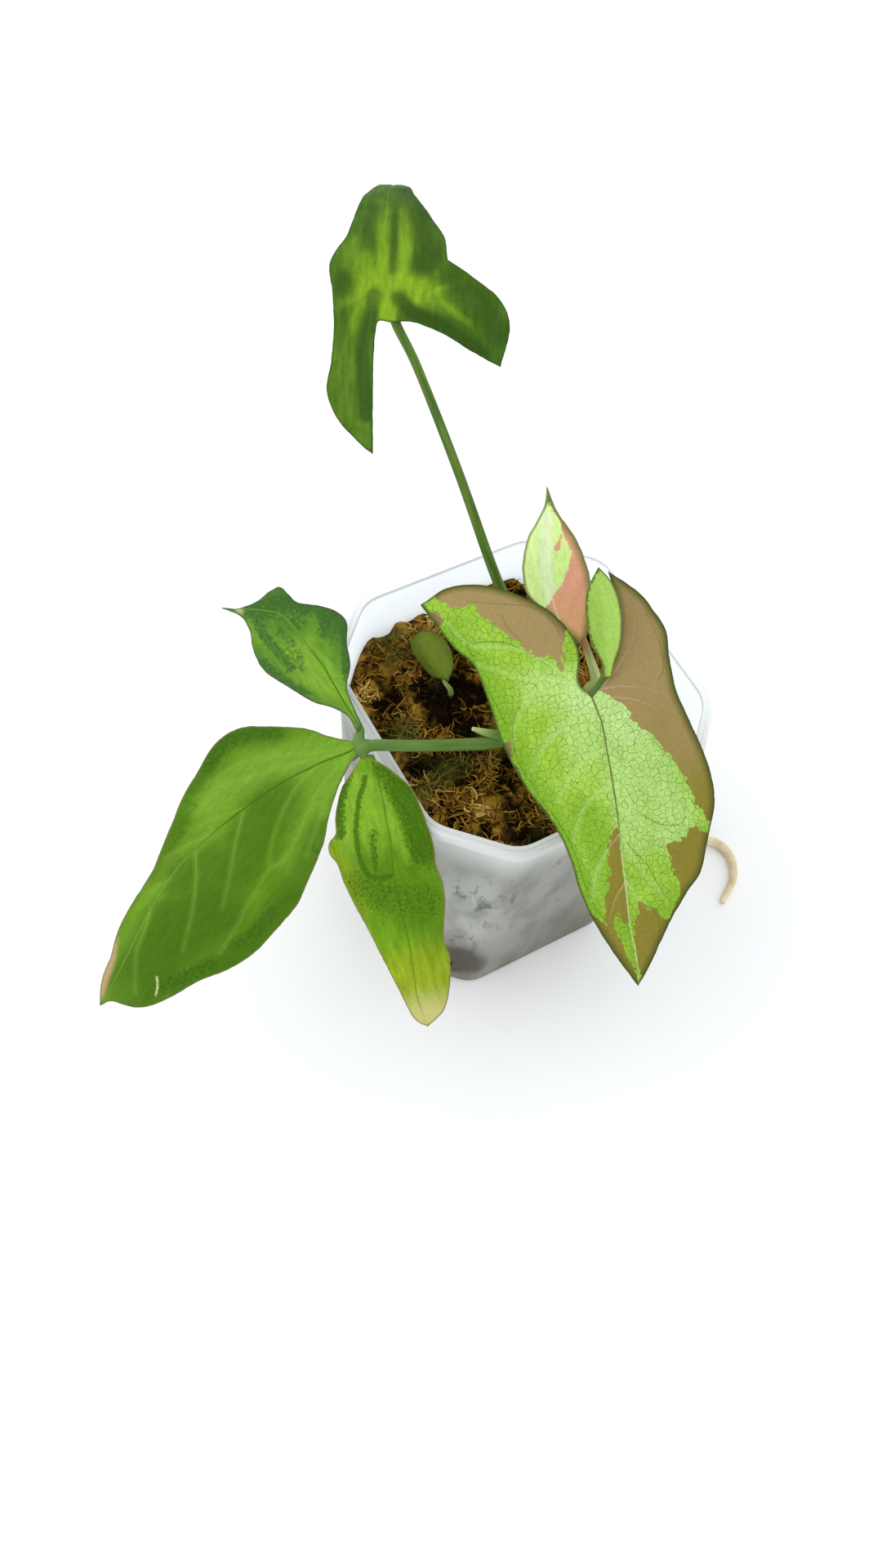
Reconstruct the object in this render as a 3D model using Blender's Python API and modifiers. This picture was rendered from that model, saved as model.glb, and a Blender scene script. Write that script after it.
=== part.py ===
"""Arrowhead plant in a small chamfered square nursery pot.

The origin is at the middle of the pot's base, +Z is up and the pot's sides lie along X and Y.
Lengths are typed in millimetres and multiplied by MM.  Each leaf is one node: its blade, or
its three leaflets, with the petiole that carries it.  The petioles, the short stem and the
small seedling leaf stand in plain holes in the sphagnum moss that fills the pot, and one
root comes out of a drain slot and lies on the ground.
"""

from math import cos, exp, hypot, pi, radians, sin, sqrt

import bmesh
import bpy
from mathutils import Vector, noise
from mathutils.geometry import delaunay_2d_cdt

MM = 0.001

# Pot: a tapered square tube with cut corners, a flat floor and a turned-down lip
POT_HEIGHT = 108.0
RIM_HALF = 45.0                 # half the width across the lip's flat sides
RIM_CORNER = 27.0               # half the length of a flat side at the lip
BASE_HALF = 37.3
BASE_CORNER = 23.9
POT_WALL = 0.9
LIP_OVERHANG = 2.0              # from the wall's outer face to the lip's outer face
LIP_DROP = 3.2
CORNER_ROUND = 4.0
FLOOR_ROUND = 1.6
SLOT_WIDTH = 4.0
SLOT_BOTTOM = 2.4
SLOT_TOP = 15.0

# Moss: what fills the pot, up to a little below the lip
MOSS_LEVEL = 95.0
MOSS_BOTTOM = 1.2
MOSS_GRID = 3.6
MOSS_SWELL = 2.6                # height of the broad heaps
MOSS_TUFT = 1.9                 # height of the small tufts
MOSS_SINK = 3.5                 # how much lower it lies at the -X wall
MOSS_DIP = 11.0                 # the lowest its surface comes, below its level

# Clearances and blades
GAP = 0.3
HOLE_CLEARANCE = 0.35
BLADE_THICKNESS = 0.7
BLADE_GRID = 4.6
EDGE_STEP = 2.6

# Stem and petioles: where each stands in the moss, and how deep
STEM_AT = (12.0, -8.5)
TALL_AT = (8.0, -2.0)
FRONT_AT = (9.0, -15.5)
LEFT_AT = (5.0, -10.0)
BACK_AT = (19.0, -6.0)
SEEDLING_AT = (-14.5, 12.0)
SOCKET_FLOOR = 82.0
SOCKET_TOP = 101.0
STRAIGHT_TOP = 97.5             # each petiole is straight and upright up to here

# Leaf junctions: where each blade meets its petiole
TALL_JOINT = (-13.5, 59.5, 191.0)
FRONT_JOINT = (-3.0, -27.0, 142.5)
EAR_JOINT = (2.0, -25.0, 146.5)
LEFT_JOINT = (-51.0, -3.0, 118.0)
BACK_JOINT = (18.0, 0.5, 114.0)
SEEDLING_JOINT = (-15.5, 14.0, 100.5)


class LeafForm:
    """The curved surface that a blade lies on.

    (s, t) are millimetres along the midrib towards the tip and across it.  heading, pitch
    and roll turn the midrib in degrees; droop bends it down (per mm), fold slopes the two
    sides down from it, curl bends them further, and wave ripples them.
    """

    def __init__(self, joint, heading, pitch, roll=0.0, droop=(0.0, 0.0), fold=(0.0, 0.0),
                 curl=(0.0, 0.0), wave=(0.0, 1.0, 0.0)):
        self.joint = Vector(joint)
        head, rise, lean = radians(heading), radians(pitch), radians(roll)
        self.along = Vector((cos(rise) * cos(head), cos(rise) * sin(head), sin(rise)))
        level = Vector((0.0, 0.0, 1.0))
        up = (level - self.along * self.along.z).normalized()
        side = up.cross(self.along)
        self.up = up * cos(lean) + side * sin(lean)
        self.across = self.up.cross(self.along)
        self.droop = droop
        self.fold = fold
        self.curl = curl
        self.wave = wave

    def height(self, s, t):
        """Height above the midrib's own curve: fold, curl and ripple."""
        tipward = 1.0 / (1.0 + exp(-max(-30.0, min(30.0, s / 6.0))))
        fold = self.fold[0] * tipward + self.fold[1] * (1.0 - tipward)
        curl = self.curl[0] * tipward + self.curl[1] * (1.0 - tipward)
        ridge = 3.0
        size, length, phase = self.wave
        ripple = size * sin(2.0 * pi * s / length + phase) * abs(t) / 15.0
        return -fold * (sqrt(t * t + ridge * ridge) - ridge) - curl * t * t / 2.0 + ripple

    def point(self, s, t, lift=0.0):
        """The surface point at (s, t), raised by lift along the arched midrib's normal."""
        bend = self.droop[0] if s >= 0.0 else self.droop[1]
        h = self.height(s, t) + lift
        sign = 1.0 if s >= 0.0 else -1.0
        if bend < 1e-6:
            forward, rise = s, h
        else:
            angle = bend * abs(s)
            forward = sign * (sin(angle) / bend + h * sin(angle))
            rise = h * cos(angle) - (1.0 - cos(angle)) / bend
        return self.joint + self.along * forward + self.up * rise + self.across * t


# Leaf outlines: runs of (s, t) points in mm, each run smooth, with a corner where two meet.
# t grows towards the right-hand side as the pot is seen from its -X -Y corner.

TALL_FORM = LeafForm(TALL_JOINT, 61.0, 40.0, 0.0, droop=(0.030, 0.010),
                     fold=(0.10, 0.30), curl=(0.008, 0.012))
TALL_RUNS = [
    [(2, 0.8), (2.5, 3.5), (-4, 3.8), (-12.5, 4), (-22.5, 3.6), (-33, 3)],
    [(-33, 3), (-31, 6), (-26, 11.5), (-19.5, 14.5), (-12.5, 13.8), (-4, 13.5), (4, 14.2),
     (11, 15), (18, 11.5), (26, 9.5), (34, 7.5), (43, 4), (52, 0)],
    [(52, 0), (44, -2.6), (35, -4.2), (27, -7.2), (20, -11), (13.5, -12)],
    [(13.5, -12), (10.5, -18), (6, -25), (-1, -28), (-11, -26.5)],
    [(-11, -26.5), (-7.5, -18.5), (-4.5, -12.5), (-2, -5), (2, 0.8)],
]

FRONT_FORM = LeafForm(FRONT_JOINT, -105.0, -28.0, -11.0, droop=(0.004, 0.008),
                      fold=(0.12, 0.10), curl=(0.004, 0.004), wave=(0.45, 26.0, 0.5))
FRONT_RUNS = [
    [(0, 0), (-3.5, -2.3), (-11.5, -1), (-19.5, -4.5), (-26, -11), (-32, -20.5),
     (-33.7, -29), (-31, -36.2)],
    [(-31, -36.2), (-24.5, -33.5), (-17.5, -30), (-12, -26), (-2, -24), (5.5, -23),
     (12, -21.5), (19, -19), (26, -15.5), (32, -12.7), (39, -11), (46.5, -10), (54, -8),
     (62.5, -4.6), (73.2, 0.6)],
    [(73.2, 0.6), (68.5, 4), (63, 7.5), (57.5, 11), (52, 15.5), (47.5, 20), (41, 22.5),
     (36.5, 24), (31.5, 25.6), (25.5, 26), (18, 25), (9.5, 22.5), (2, 20.5), (-6.5, 20.5),
     (-12.5, 20.8), (-17.5, 18.7), (-22.5, 16), (-29.3, 10.4)],
    [(-29.3, 10.4), (-24, 11.2), (-15.5, 10.5), (-9, 8), (-4, 3.6), (0, 0)],
]

EAR_FORM = LeafForm(EAR_JOINT, 72.0, 33.0, 10.0, fold=(-0.25, -0.25))
EAR_RUNS = [
    [(-1.5, -0.9), (2.2, -2), (5.5, -3.5), (10.5, -4.5), (16, -4.4), (21, -3), (24.6, -0.4)],
    [(24.6, -0.4), (20, 2.6), (15.5, 3.7), (11, 3.7), (6.3, 3), (2.5, 1.2), (-1.5, 0.9)],
    [(-1.5, 0.9), (-1.5, -0.9)],
]

LEFT_UPPER_FORM = LeafForm(LEFT_JOINT, 98.0, 14.0, 17.0, droop=(0.007, 0.0),
                           fold=(0.15, 0.15), wave=(0.5, 22.0, 1.0))
LEFT_UPPER_RUNS = [
    [(3, -1), (7, -1.5), (11, 0), (16.5, 4), (24, 7.2), (31, 9.6), (37.8, 9), (42.5, 7),
     (48, 6.8), (54.5, 9.6)],
    [(54.5, 9.6), (51, 6.4), (49, 1.5), (49.4, -5.5), (45.5, -6.6), (42, -7.4), (38.5, -11.2),
     (34.5, -14.2), (30, -14.8), (24.5, -11.6), (19, -9.2), (14.5, -5.2), (9.5, -4),
     (4, -2.8)],
    [(4, -2.8), (3, -1)],
]

LEFT_BIG_FORM = LeafForm(LEFT_JOINT, -165.0, -17.0, 13.0, droop=(0.004, 0.0),
                         fold=(0.15, 0.15), curl=(0.004, 0.004), wave=(0.5, 34.0, 0.3))
LEFT_BIG_RUNS = [
    [(0.5, -1.6), (4, -7), (7, -13), (12, -18.7), (17, -24), (21.5, -26.4), (27, -26.8),
     (33.5, -24.8), (40.5, -22.8), (47.5, -20), (54, -17.4), (59.5, -15), (65.5, -13.4),
     (72, -12), (78, -9.8), (83, -7.2), (89, -4.8), (94.5, -0.4)],
    [(94.5, -0.4), (91, 1.2), (88, 6.4), (84, 9.2), (78, 11.4), (71, 13.2), (63.5, 16.4),
     (55.5, 18), (47.5, 17.8), (39.5, 17.2), (34, 15.2), (28.5, 13), (23.5, 10.8), (18, 7.2),
     (12, 4), (5.5, 1.7), (1.5, 1)],
    [(1.5, 1), (0.5, -1.6)],
]

LEFT_LOWER_FORM = LeafForm(LEFT_JOINT, -102.0, -20.0, -13.0, droop=(0.006, 0.0),
                           fold=(0.12, 0.12), wave=(0.6, 17.0, 0.0))
LEFT_LOWER_RUNS = [
    [(3.2, 0.9), (6, 4.2), (9.5, 7), (14, 9.8), (22, 11.1), (29, 11.5), (33.5, 10.9),
     (38.5, 11.4), (43.5, 10.8), (49, 9.1), (53, 8.1), (58, 8.5), (65.5, 6.5), (71, 3.6),
     (74.6, -1.4)],
    [(74.6, -1.4), (71.5, -4.2), (65.5, -5.6), (58, -7), (51, -8.5), (44, -10), (38, -11.4),
     (32.5, -12.5), (27.5, -13), (24.6, -14.2), (21.8, -13.6), (19.8, -11.4), (15.5, -10.4),
     (9.5, -7.4), (6, -3.7), (3.2, -0.9)],
    [(3.2, -0.9), (3.2, 0.9)],
]

BACK_FORM = LeafForm(BACK_JOINT, 102.0, 60.0, 34.0, fold=(-0.35, -0.35))
BACK_RUNS = [
    [(-0.5, 0), (3.5, -1.8), (8.5, -3.5), (14.5, -5), (20.5, -5.5), (25.5, -5.2), (31, -4.4),
     (35.5, -3), (40.5, -1.1), (47.8, 0)],
    [(47.8, 0), (43.5, 1.4), (39.5, 4.6), (36, 7.8), (30.5, 10.4), (26, 11.2), (21.5, 11.2),
     (15, 8.4), (6.5, 4.2), (-0.5, 0)],
]

SEEDLING_FORM = LeafForm(SEEDLING_JOINT, 97.0, 21.0, 7.0, droop=(0.02, 0.0),
                         fold=(0.10, 0.10))
SEEDLING_RUNS = [
    [(-0.5, -0.6), (1.2, -3.2), (4, -5.2), (7.5, -6.2), (11, -6.1), (14, -4.6), (15.7, -1.4)],
    [(15.7, -1.4), (14.2, 2.2), (11, 3.4), (6, 3.2), (2.6, 2.4), (-0.5, -0.6)],
]

# Petiole paths: (x, y, z, radius) in mm, smoothed between the points
TALL_PETIOLE = [
    (8, -2, 100.5, 2.0), (7, 5, 108, 1.8), (3.1, 21.9, 122.7, 1.55), (-4, 38.2, 153.8, 1.35),
    (-10, 52, 178, 1.2), (-13.4, 59.4, 189.4, 1.2),
]
FRONT_PETIOLE = [
    (9, -15.5, 101, 2.1), (7.5, -18, 110, 1.9), (3, -22.5, 126, 1.7), (-2.4, -26.4, 141.2, 1.5),
]
LEFT_PETIOLE = [
    (5, -10, 100.5, 2.2), (-1, -11.2, 105.2, 2.1), (-14.5, -12.5, 107.6, 2.0),
    (-27, -10.7, 112, 1.8), (-39.5, -7.5, 116, 1.7), (-49.5, -3.6, 117.2, 1.6),
]
BACK_PETIOLE = [
    (19, -6, 100.5, 2.0), (20, -6, 105, 1.8), (18.8, -1.8, 111.8, 1.5),
]
SHEATH_TIP = [(-11, -12.4, 106.6, 1.7), (-16, -11.4, 110, 1.4), (-21.2, -8.4, 112.4, 0.5)]

STEM_PROFILE = [
    (SOCKET_FLOOR, 2.8), (92, 3.1), (97, 3.3), (98, 3.7), (99, 3.2), (102.5, 3.0), (103.5, 3.4),
    (104.5, 2.7), (107, 2.0), (109, 0.9),
]

# Root: out of the drain slot at +X -Y and along the ground
ROOT_PATH = [
    (24.5, -24.5, 7.5, 1.3), (30.5, -30.5, 7.0, 1.35), (36, -33, 4.6, 1.4), (43, -33, 2.2, 1.5),
    (55, -29.5, 1.75, 1.6), (67, -27.2, 1.75, 1.6), (75, -30.5, 1.75, 1.6),
    (77.6, -37, 1.7, 1.55), (74.6, -44.5, 1.5, 1.35), (65.5, -51, 1.1, 0.9),
]


def clear_scene():
    for old in list(bpy.data.objects):
        bpy.data.objects.remove(old, do_unlink=True)


def new_collection(name):
    group = bpy.data.collections.new(name)
    bpy.context.scene.collection.children.link(group)
    return group


def new_material(name, colour, roughness):
    mat = bpy.data.materials.new(name)
    mat.use_nodes = True
    shader = mat.node_tree.nodes["Principled BSDF"]
    shader.inputs["Base Color"].default_value = (*colour, 1.0)
    shader.inputs["Roughness"].default_value = roughness
    shader.inputs["Metallic"].default_value = 0.0
    return mat


def mesh_object(name, mesh, group):
    obj = bpy.data.objects.new(name, mesh)
    group.objects.link(obj)
    return obj


def from_bmesh(name, bm, group):
    bmesh.ops.recalc_face_normals(bm, faces=bm.faces[:])
    mesh = bpy.data.meshes.new(name)
    bm.to_mesh(mesh)
    bm.free()
    return mesh_object(name, mesh, group)


def frozen(obj, group):
    """Replace an object by a plain mesh of what it evaluates to, with curve caps welded."""
    graph = bpy.context.evaluated_depsgraph_get()
    mesh = bpy.data.meshes.new_from_object(obj.evaluated_get(graph))
    bm = bmesh.new()
    bm.from_mesh(mesh)
    bmesh.ops.remove_doubles(bm, verts=bm.verts[:], dist=0.002 * MM)
    bm.to_mesh(mesh)
    bm.free()
    name = obj.name
    place = obj.matrix_world.copy()
    bpy.data.objects.remove(obj, do_unlink=True)
    plain = mesh_object(name, mesh, group)
    plain.matrix_world = place
    return plain


def finished(obj, mat):
    """Give a piece its material and smooth shading, with the sharper edges kept."""
    obj.data.materials.clear()
    obj.data.materials.append(mat)
    obj.data.shade_smooth()
    obj.data.set_sharp_from_angle(angle=radians(40.0))


def smooth_run(points, step):
    """Points about a step apart on a smooth curve through the given ones (Catmull-Rom)."""
    pts = [Vector(p) for p in points]
    if len(pts) == 2:
        return [pts[0]]
    ends = [pts[0] * 2.0 - pts[1]] + pts + [pts[-1] * 2.0 - pts[-2]]
    out = []
    for a, b, c, d in zip(ends, ends[1:], ends[2:], ends[3:]):
        count = max(1, round((c - b).length / step))
        for i in range(count):
            u = i / count
            out.append(0.5 * (b * 2.0 + (c - a) * u + (a * 2.0 - b * 5.0 + c * 4.0 - d) * u * u
                              + (b * 3.0 - a - c * 3.0 + d) * u * u * u))
    return out


def inside(x, y, ring):
    """Even-odd test of a point against a closed ring of points."""
    hit = False
    for p, q in zip(ring, ring[1:] + ring[:1]):
        if (p.y > y) != (q.y > y) and x < (q.x - p.x) * (y - p.y) / (q.y - p.y) + p.x:
            hit = not hit
    return hit


def filled_outline(ring, spacing):
    """Even triangles inside a closed flat ring: vertices and faces."""
    points = list(ring)
    low_x, high_x = min(p.x for p in ring), max(p.x for p in ring)
    low_y, high_y = min(p.y for p in ring), max(p.y for p in ring)
    rows = int((high_y - low_y) / (spacing * 0.866)) + 1
    columns = int((high_x - low_x) / spacing) + 1
    for row in range(rows + 1):
        for column in range(columns + 1):
            x = low_x + (column + 0.5 * (row % 2)) * spacing
            y = low_y + row * spacing * 0.866
            nearest = min(hypot(p.x - x, p.y - y) for p in ring)
            if nearest > 0.62 * spacing and inside(x, y, ring):
                points.append(Vector((x, y)))
    count = len(ring)
    edges = [(i, (i + 1) % count) for i in range(count)]
    verts, _, faces, *_ = delaunay_2d_cdt(points, edges, [], 1, 1e-4)
    return verts, faces


def make_blade(name, form, runs, group):
    """A thin closed blade: the filled outline laid on the leaf's curved surface."""
    ring = []
    for run in runs:
        ring += smooth_run(run, EDGE_STEP)
    verts, faces = filled_outline(ring, BLADE_GRID)
    bm = bmesh.new()
    made = [bm.verts.new(form.point(v.x, v.y) * MM) for v in verts]
    for face in faces:
        bm.faces.new([made[i] for i in face])
    obj = from_bmesh(name, bm, group)
    solid = obj.modifiers.new("Thickness", "SOLIDIFY")
    solid.thickness = BLADE_THICKNESS * MM
    solid.offset = 0.0
    return frozen(obj, group)


def make_tube(name, path, group, step=4.0, sides=2):
    """A tapered round tube along a smooth path of (x, y, z, radius)."""
    points = smooth_run(path, step) + [Vector(path[-1])]
    curve = bpy.data.curves.new(name, "CURVE")
    curve.dimensions = "3D"
    curve.bevel_depth = MM
    curve.bevel_resolution = sides
    curve.use_fill_caps = True
    spline = curve.splines.new("POLY")
    spline.points.add(len(points) - 1)
    for knot, point in zip(spline.points, points):
        knot.co = (point[0] * MM, point[1] * MM, point[2] * MM, 1.0)
        knot.radius = point[3]
    return frozen(mesh_object(name, curve, group), group)


def make_midrib(name, form, length, group, start=0.0, radius=1.1, bow=0.0):
    """The raised rib under a blade, tapering towards the tip."""
    path = []
    for i in range(7):
        share = i / 6.0
        s = start + (length - start) * share
        r = radius * (1.0 - share) + 0.45 * share
        t = bow * sin(pi * share)
        path.append((*form.point(s, t, 0.1 - r), r))
    return make_tube(name, path, group, step=6.0, sides=1)


def joined(name, pieces, group):
    """One closed body out of several that overlap."""
    body = pieces[0]
    body.name = name
    rest = bpy.data.collections.new(name + "_joined")
    bpy.context.scene.collection.children.link(rest)
    for piece in pieces[1:]:
        group.objects.unlink(piece)
        rest.objects.link(piece)
    union = body.modifiers.new("Join", "BOOLEAN")
    union.operation = "UNION"
    union.operand_type = "COLLECTION"
    union.collection = rest
    union.solver = "EXACT"
    bpy.context.view_layer.update()
    whole = frozen(body, group)
    for piece in list(rest.objects):
        bpy.data.objects.remove(piece, do_unlink=True)
    bpy.data.collections.remove(rest)
    whole.name = name
    return whole


def standing(spot, path, form, reach, radius):
    """A petiole's path, with its straight foot in the moss and its end under the blade."""
    foot = [(*spot, SOCKET_FLOOR, path[0][3]), (*spot, STRAIGHT_TOP, path[0][3])]
    end = form.point(reach, 0.0, 0.1 - radius)
    return foot + path + [(*end, radius)]


def corner_points(half, corner):
    """The eight corners of a square with cut corners, in order around it."""
    return [(half, -corner), (half, corner), (corner, half), (-corner, half),
            (-half, corner), (-half, -corner), (-corner, -half), (corner, -half)]


def inset_octagon(half, corner, distance):
    """Half width and half side length after moving every side inwards."""
    return half - distance, corner - 0.4142 * distance


def wall_size(z):
    """Outer half width and half side length of the pot's wall at a height."""
    share = z / POT_HEIGHT
    top_half, top_corner = inset_octagon(RIM_HALF, RIM_CORNER, LIP_OVERHANG)
    half = BASE_HALF + (top_half - BASE_HALF) * share
    corner = BASE_CORNER + (top_corner - BASE_CORNER) * share
    return half, corner


def add_ring(bm, half, corner, z):
    ring = [bm.verts.new((x * MM, y * MM, z * MM)) for x, y in corner_points(half, corner)]
    return ring


def make_pot(group, cutters):
    """Floor, tapered wall and turned-down lip as one open surface, then thickened."""
    bm = bmesh.new()
    lip_z = POT_HEIGHT - POT_WALL
    lip = inset_octagon(RIM_HALF, RIM_CORNER, POT_WALL)
    rings = [
        add_ring(bm, BASE_HALF, BASE_CORNER, 0.0),
        add_ring(bm, *wall_size(lip_z), lip_z),
        add_ring(bm, *lip, lip_z),
        add_ring(bm, *lip, POT_HEIGHT - LIP_DROP),
    ]
    bm.faces.new(list(reversed(rings[0])))
    for lower, upper in zip(rings, rings[1:]):
        for i in range(8):
            j = (i + 1) % 8
            bm.faces.new((lower[i], lower[j], upper[j], upper[i]))
    weight = bm.edges.layers.float.new("bevel_weight_edge")
    for edge in bm.edges:
        rise = abs(edge.verts[0].co.z - edge.verts[1].co.z)
        flat_run = (edge.verts[0].co.xy - edge.verts[1].co.xy).length
        if rise > 0.5 * MM or flat_run < 3.0 * MM:
            edge[weight] = 1.0
        elif edge.verts[0].co.z < 0.5 * MM:
            edge[weight] = FLOOR_ROUND / CORNER_ROUND
    mesh = bpy.data.meshes.new("pot")
    bm.to_mesh(mesh)
    bm.free()
    pot = mesh_object("pot", mesh, group)
    bevel = pot.modifiers.new("Corners", "BEVEL")
    bevel.limit_method = "WEIGHT"
    bevel.width = CORNER_ROUND * MM
    bevel.segments = 3
    solid = pot.modifiers.new("Wall", "SOLIDIFY")
    solid.thickness = POT_WALL * MM
    solid.offset = -1.0
    solid.use_even_offset = True
    cut = pot.modifiers.new("Drain slots", "BOOLEAN")
    cut.operation = "DIFFERENCE"
    cut.operand_type = "COLLECTION"
    cut.collection = cutters
    cut.solver = "EXACT"
    for quarter in range(4):
        angle = radians(45.0 + 90.0 * quarter)
        reach = (BASE_HALF + BASE_CORNER) / sqrt(2.0)
        bpy.ops.mesh.primitive_cube_add(size=1.0)
        slot = bpy.context.object
        slot.name = "slot_cutter_%d" % quarter
        for old in list(slot.users_collection):
            old.objects.unlink(slot)
        cutters.objects.link(slot)
        slot.scale = (8.0 * MM, SLOT_WIDTH * MM, (SLOT_TOP - SLOT_BOTTOM) * MM)
        slot.rotation_euler = (0.0, 0.0, angle)
        middle = (SLOT_BOTTOM + SLOT_TOP) / 2.0
        slot.location = (reach * cos(angle) * MM, reach * sin(angle) * MM, middle * MM)
        slot.hide_render = True
        slot.display_type = "WIRE"
    return pot


def rounded_ring(half, corner, radius):
    """The pot's cross-section with its corners rounded, as a ring of points."""
    corners = [Vector(p) for p in corner_points(half, corner)]
    ring = []
    for before, here, after in zip(corners[-1:] + corners[:-1], corners, corners[1:] + corners[:1]):
        back = (before - here).normalized() * radius
        ahead = (after - here).normalized() * radius
        for share in (0.0, 0.5, 1.0):
            blend = here + back * (1.0 - share) ** 2 + ahead * share ** 2
            ring.append(blend)
    return ring


def subdivided(ring, counts):
    """The ring with each of its sides split into the given number of steps."""
    out = []
    for p, q, count in zip(ring, ring[1:] + ring[:1], counts):
        out += [p + (q - p) * (i / count) for i in range(count)]
    return out


def moss_height(x, y):
    """The moss surface: broad heaps, small tufts, and lower towards the -X wall."""
    broad = noise.noise(Vector((x / 17.0, y / 17.0, 3.1)))
    tuft = noise.noise(Vector((x / 6.2, y / 6.2, 8.4)))
    left = max(0.0, min(1.0, (-x - 18.0) / 22.0))
    edge = max(abs(x), abs(y), (abs(x) + abs(y)) / 1.5) / 41.0
    rim_drop = 1.6 * max(0.0, edge - 0.75) / 0.25
    return (MOSS_LEVEL + MOSS_SWELL * broad + MOSS_TUFT * tuft - MOSS_SINK * left * left
            - rim_drop)


def make_moss(group, cutters):
    """The filling of moss: relief on top, the pot's taper at the sides."""
    clear = POT_WALL + GAP
    top = rounded_ring(*inset_octagon(*wall_size(MOSS_LEVEL - MOSS_DIP), clear), CORNER_ROUND)
    low = rounded_ring(*inset_octagon(*wall_size(MOSS_BOTTOM), clear + FLOOR_ROUND / 2.0),
                       CORNER_ROUND)
    step = MOSS_GRID * 1.3
    counts = [max(1, round((q - p).length / step)) for p, q in zip(top, top[1:] + top[:1])]
    top, low = subdivided(top, counts), subdivided(low, counts)
    verts, faces = filled_outline(top, MOSS_GRID)
    bm = bmesh.new()
    made = [bm.verts.new(Vector((v.x, v.y, moss_height(v.x, v.y))) * MM) for v in verts]
    for face in faces:
        bm.faces.new([made[i] for i in face])
    bmesh.ops.recalc_face_normals(bm, faces=bm.faces[:])
    rim = [e for e in bm.edges if e.is_boundary]
    grown = bmesh.ops.extrude_edge_only(bm, edges=rim)
    for vert in grown["geom"]:
        if isinstance(vert, bmesh.types.BMVert):
            here = vert.co.xy / MM
            nearest = min(range(len(top)), key=lambda i: (top[i] - here).length)
            vert.co = Vector((*low[nearest], MOSS_BOTTOM)) * MM
    bmesh.ops.holes_fill(bm, edges=[e for e in bm.edges if e.is_boundary], sides=0)
    moss = from_bmesh("moss", bm, group)
    cut = moss.modifiers.new("Holes", "BOOLEAN")
    cut.operation = "DIFFERENCE"
    cut.operand_type = "COLLECTION"
    cut.collection = cutters
    cut.solver = "EXACT"
    return moss


def add_socket(name, spot, radius, cutters):
    """A plain round hole for a petiole's foot."""
    depth = SOCKET_TOP - SOCKET_FLOOR + GAP
    bpy.ops.mesh.primitive_cylinder_add(
        vertices=12, radius=(radius + HOLE_CLEARANCE) * MM, depth=depth * MM,
        location=(spot[0] * MM, spot[1] * MM, (SOCKET_TOP - depth / 2.0) * MM))
    hide_cutter(bpy.context.object, name, cutters)


def hide_cutter(obj, name, cutters):
    obj.name = name
    for old in list(obj.users_collection):
        old.objects.unlink(obj)
    cutters.objects.link(obj)
    obj.hide_render = True
    obj.display_type = "WIRE"


def add_root_hole(cutters):
    """The hole that the root's hidden end lies in, running in from the slot."""
    inner = Vector(ROOT_PATH[0][:3])
    outer = Vector(ROOT_PATH[1][:3])
    way = (outer - inner).normalized()
    start, end = inner - way * 0.5, outer + way * 4.0
    radius = ROOT_PATH[0][3] + HOLE_CLEARANCE + 0.25
    bpy.ops.mesh.primitive_cylinder_add(
        vertices=12, radius=radius * MM, depth=(end - start).length * MM,
        location=(start + end) / 2.0 * MM, rotation=way.to_track_quat("Z", "Y").to_euler())
    hide_cutter(bpy.context.object, "root_hole_cutter", cutters)


def make_stem(group):
    """The short stem, ringed at its nodes, with the bud at its top."""
    path = [(STEM_AT[0], STEM_AT[1], z, r) for z, r in STEM_PROFILE]
    return make_tube("stem", path, group, step=30.0)


def make_tall_leaf(group):
    blade = make_blade("tall_blade", TALL_FORM, TALL_RUNS, group)
    rib = make_midrib("tall_rib", TALL_FORM, 40.0, group)
    petiole = make_tube("tall_petiole", standing(TALL_AT, TALL_PETIOLE, TALL_FORM, 6.0, 1.1), group,
                        step=7.0)
    return joined("leaf_tall", [blade, rib, petiole], group)


def make_front_leaf(group):
    blade = make_blade("front_blade", FRONT_FORM, FRONT_RUNS, group)
    ear = make_blade("front_ear", EAR_FORM, EAR_RUNS, group)
    rib = make_midrib("front_rib", FRONT_FORM, 62.0, group, radius=1.3)
    petiole = make_tube(
        "front_petiole", standing(FRONT_AT, FRONT_PETIOLE, FRONT_FORM, 3.5, 1.3), group, step=6.0)
    foot = FRONT_FORM.point(0.0, 0.0, -0.4)
    ear_stalk = [(*foot, 0.8), (*((foot + EAR_FORM.point(0.0, 0.0)) / 2.0), 0.65),
                 (*EAR_FORM.point(1.0, 0.0, -0.2), 0.6), (*EAR_FORM.point(8.0, 0.0, -0.3), 0.5)]
    stalk = make_tube("front_ear_stalk", ear_stalk, group, step=3.0, sides=1)
    return joined("leaf_front", [blade, rib, petiole, stalk, ear], group)


def make_left_leaf(group):
    upper = make_blade("left_upper", LEFT_UPPER_FORM, LEFT_UPPER_RUNS, group)
    big = make_blade("left_big", LEFT_BIG_FORM, LEFT_BIG_RUNS, group)
    lower = make_blade("left_lower", LEFT_LOWER_FORM, LEFT_LOWER_RUNS, group)
    ribs = [
        make_midrib("left_upper_rib", LEFT_UPPER_FORM, 44.0, group, radius=1.2, bow=-1.5),
        make_midrib("left_big_rib", LEFT_BIG_FORM, 80.0, group, radius=1.4),
        make_midrib("left_lower_rib", LEFT_LOWER_FORM, 62.0, group, radius=1.2),
    ]
    petiole = make_tube(
        "left_petiole", standing(LEFT_AT, LEFT_PETIOLE, LEFT_BIG_FORM, 4.0, 1.4), group, step=6.0)
    sheath = make_tube("left_sheath", SHEATH_TIP, group, step=4.0, sides=1)
    return joined("leaf_left", [big, upper, lower, petiole, sheath] + ribs, group)


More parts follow.
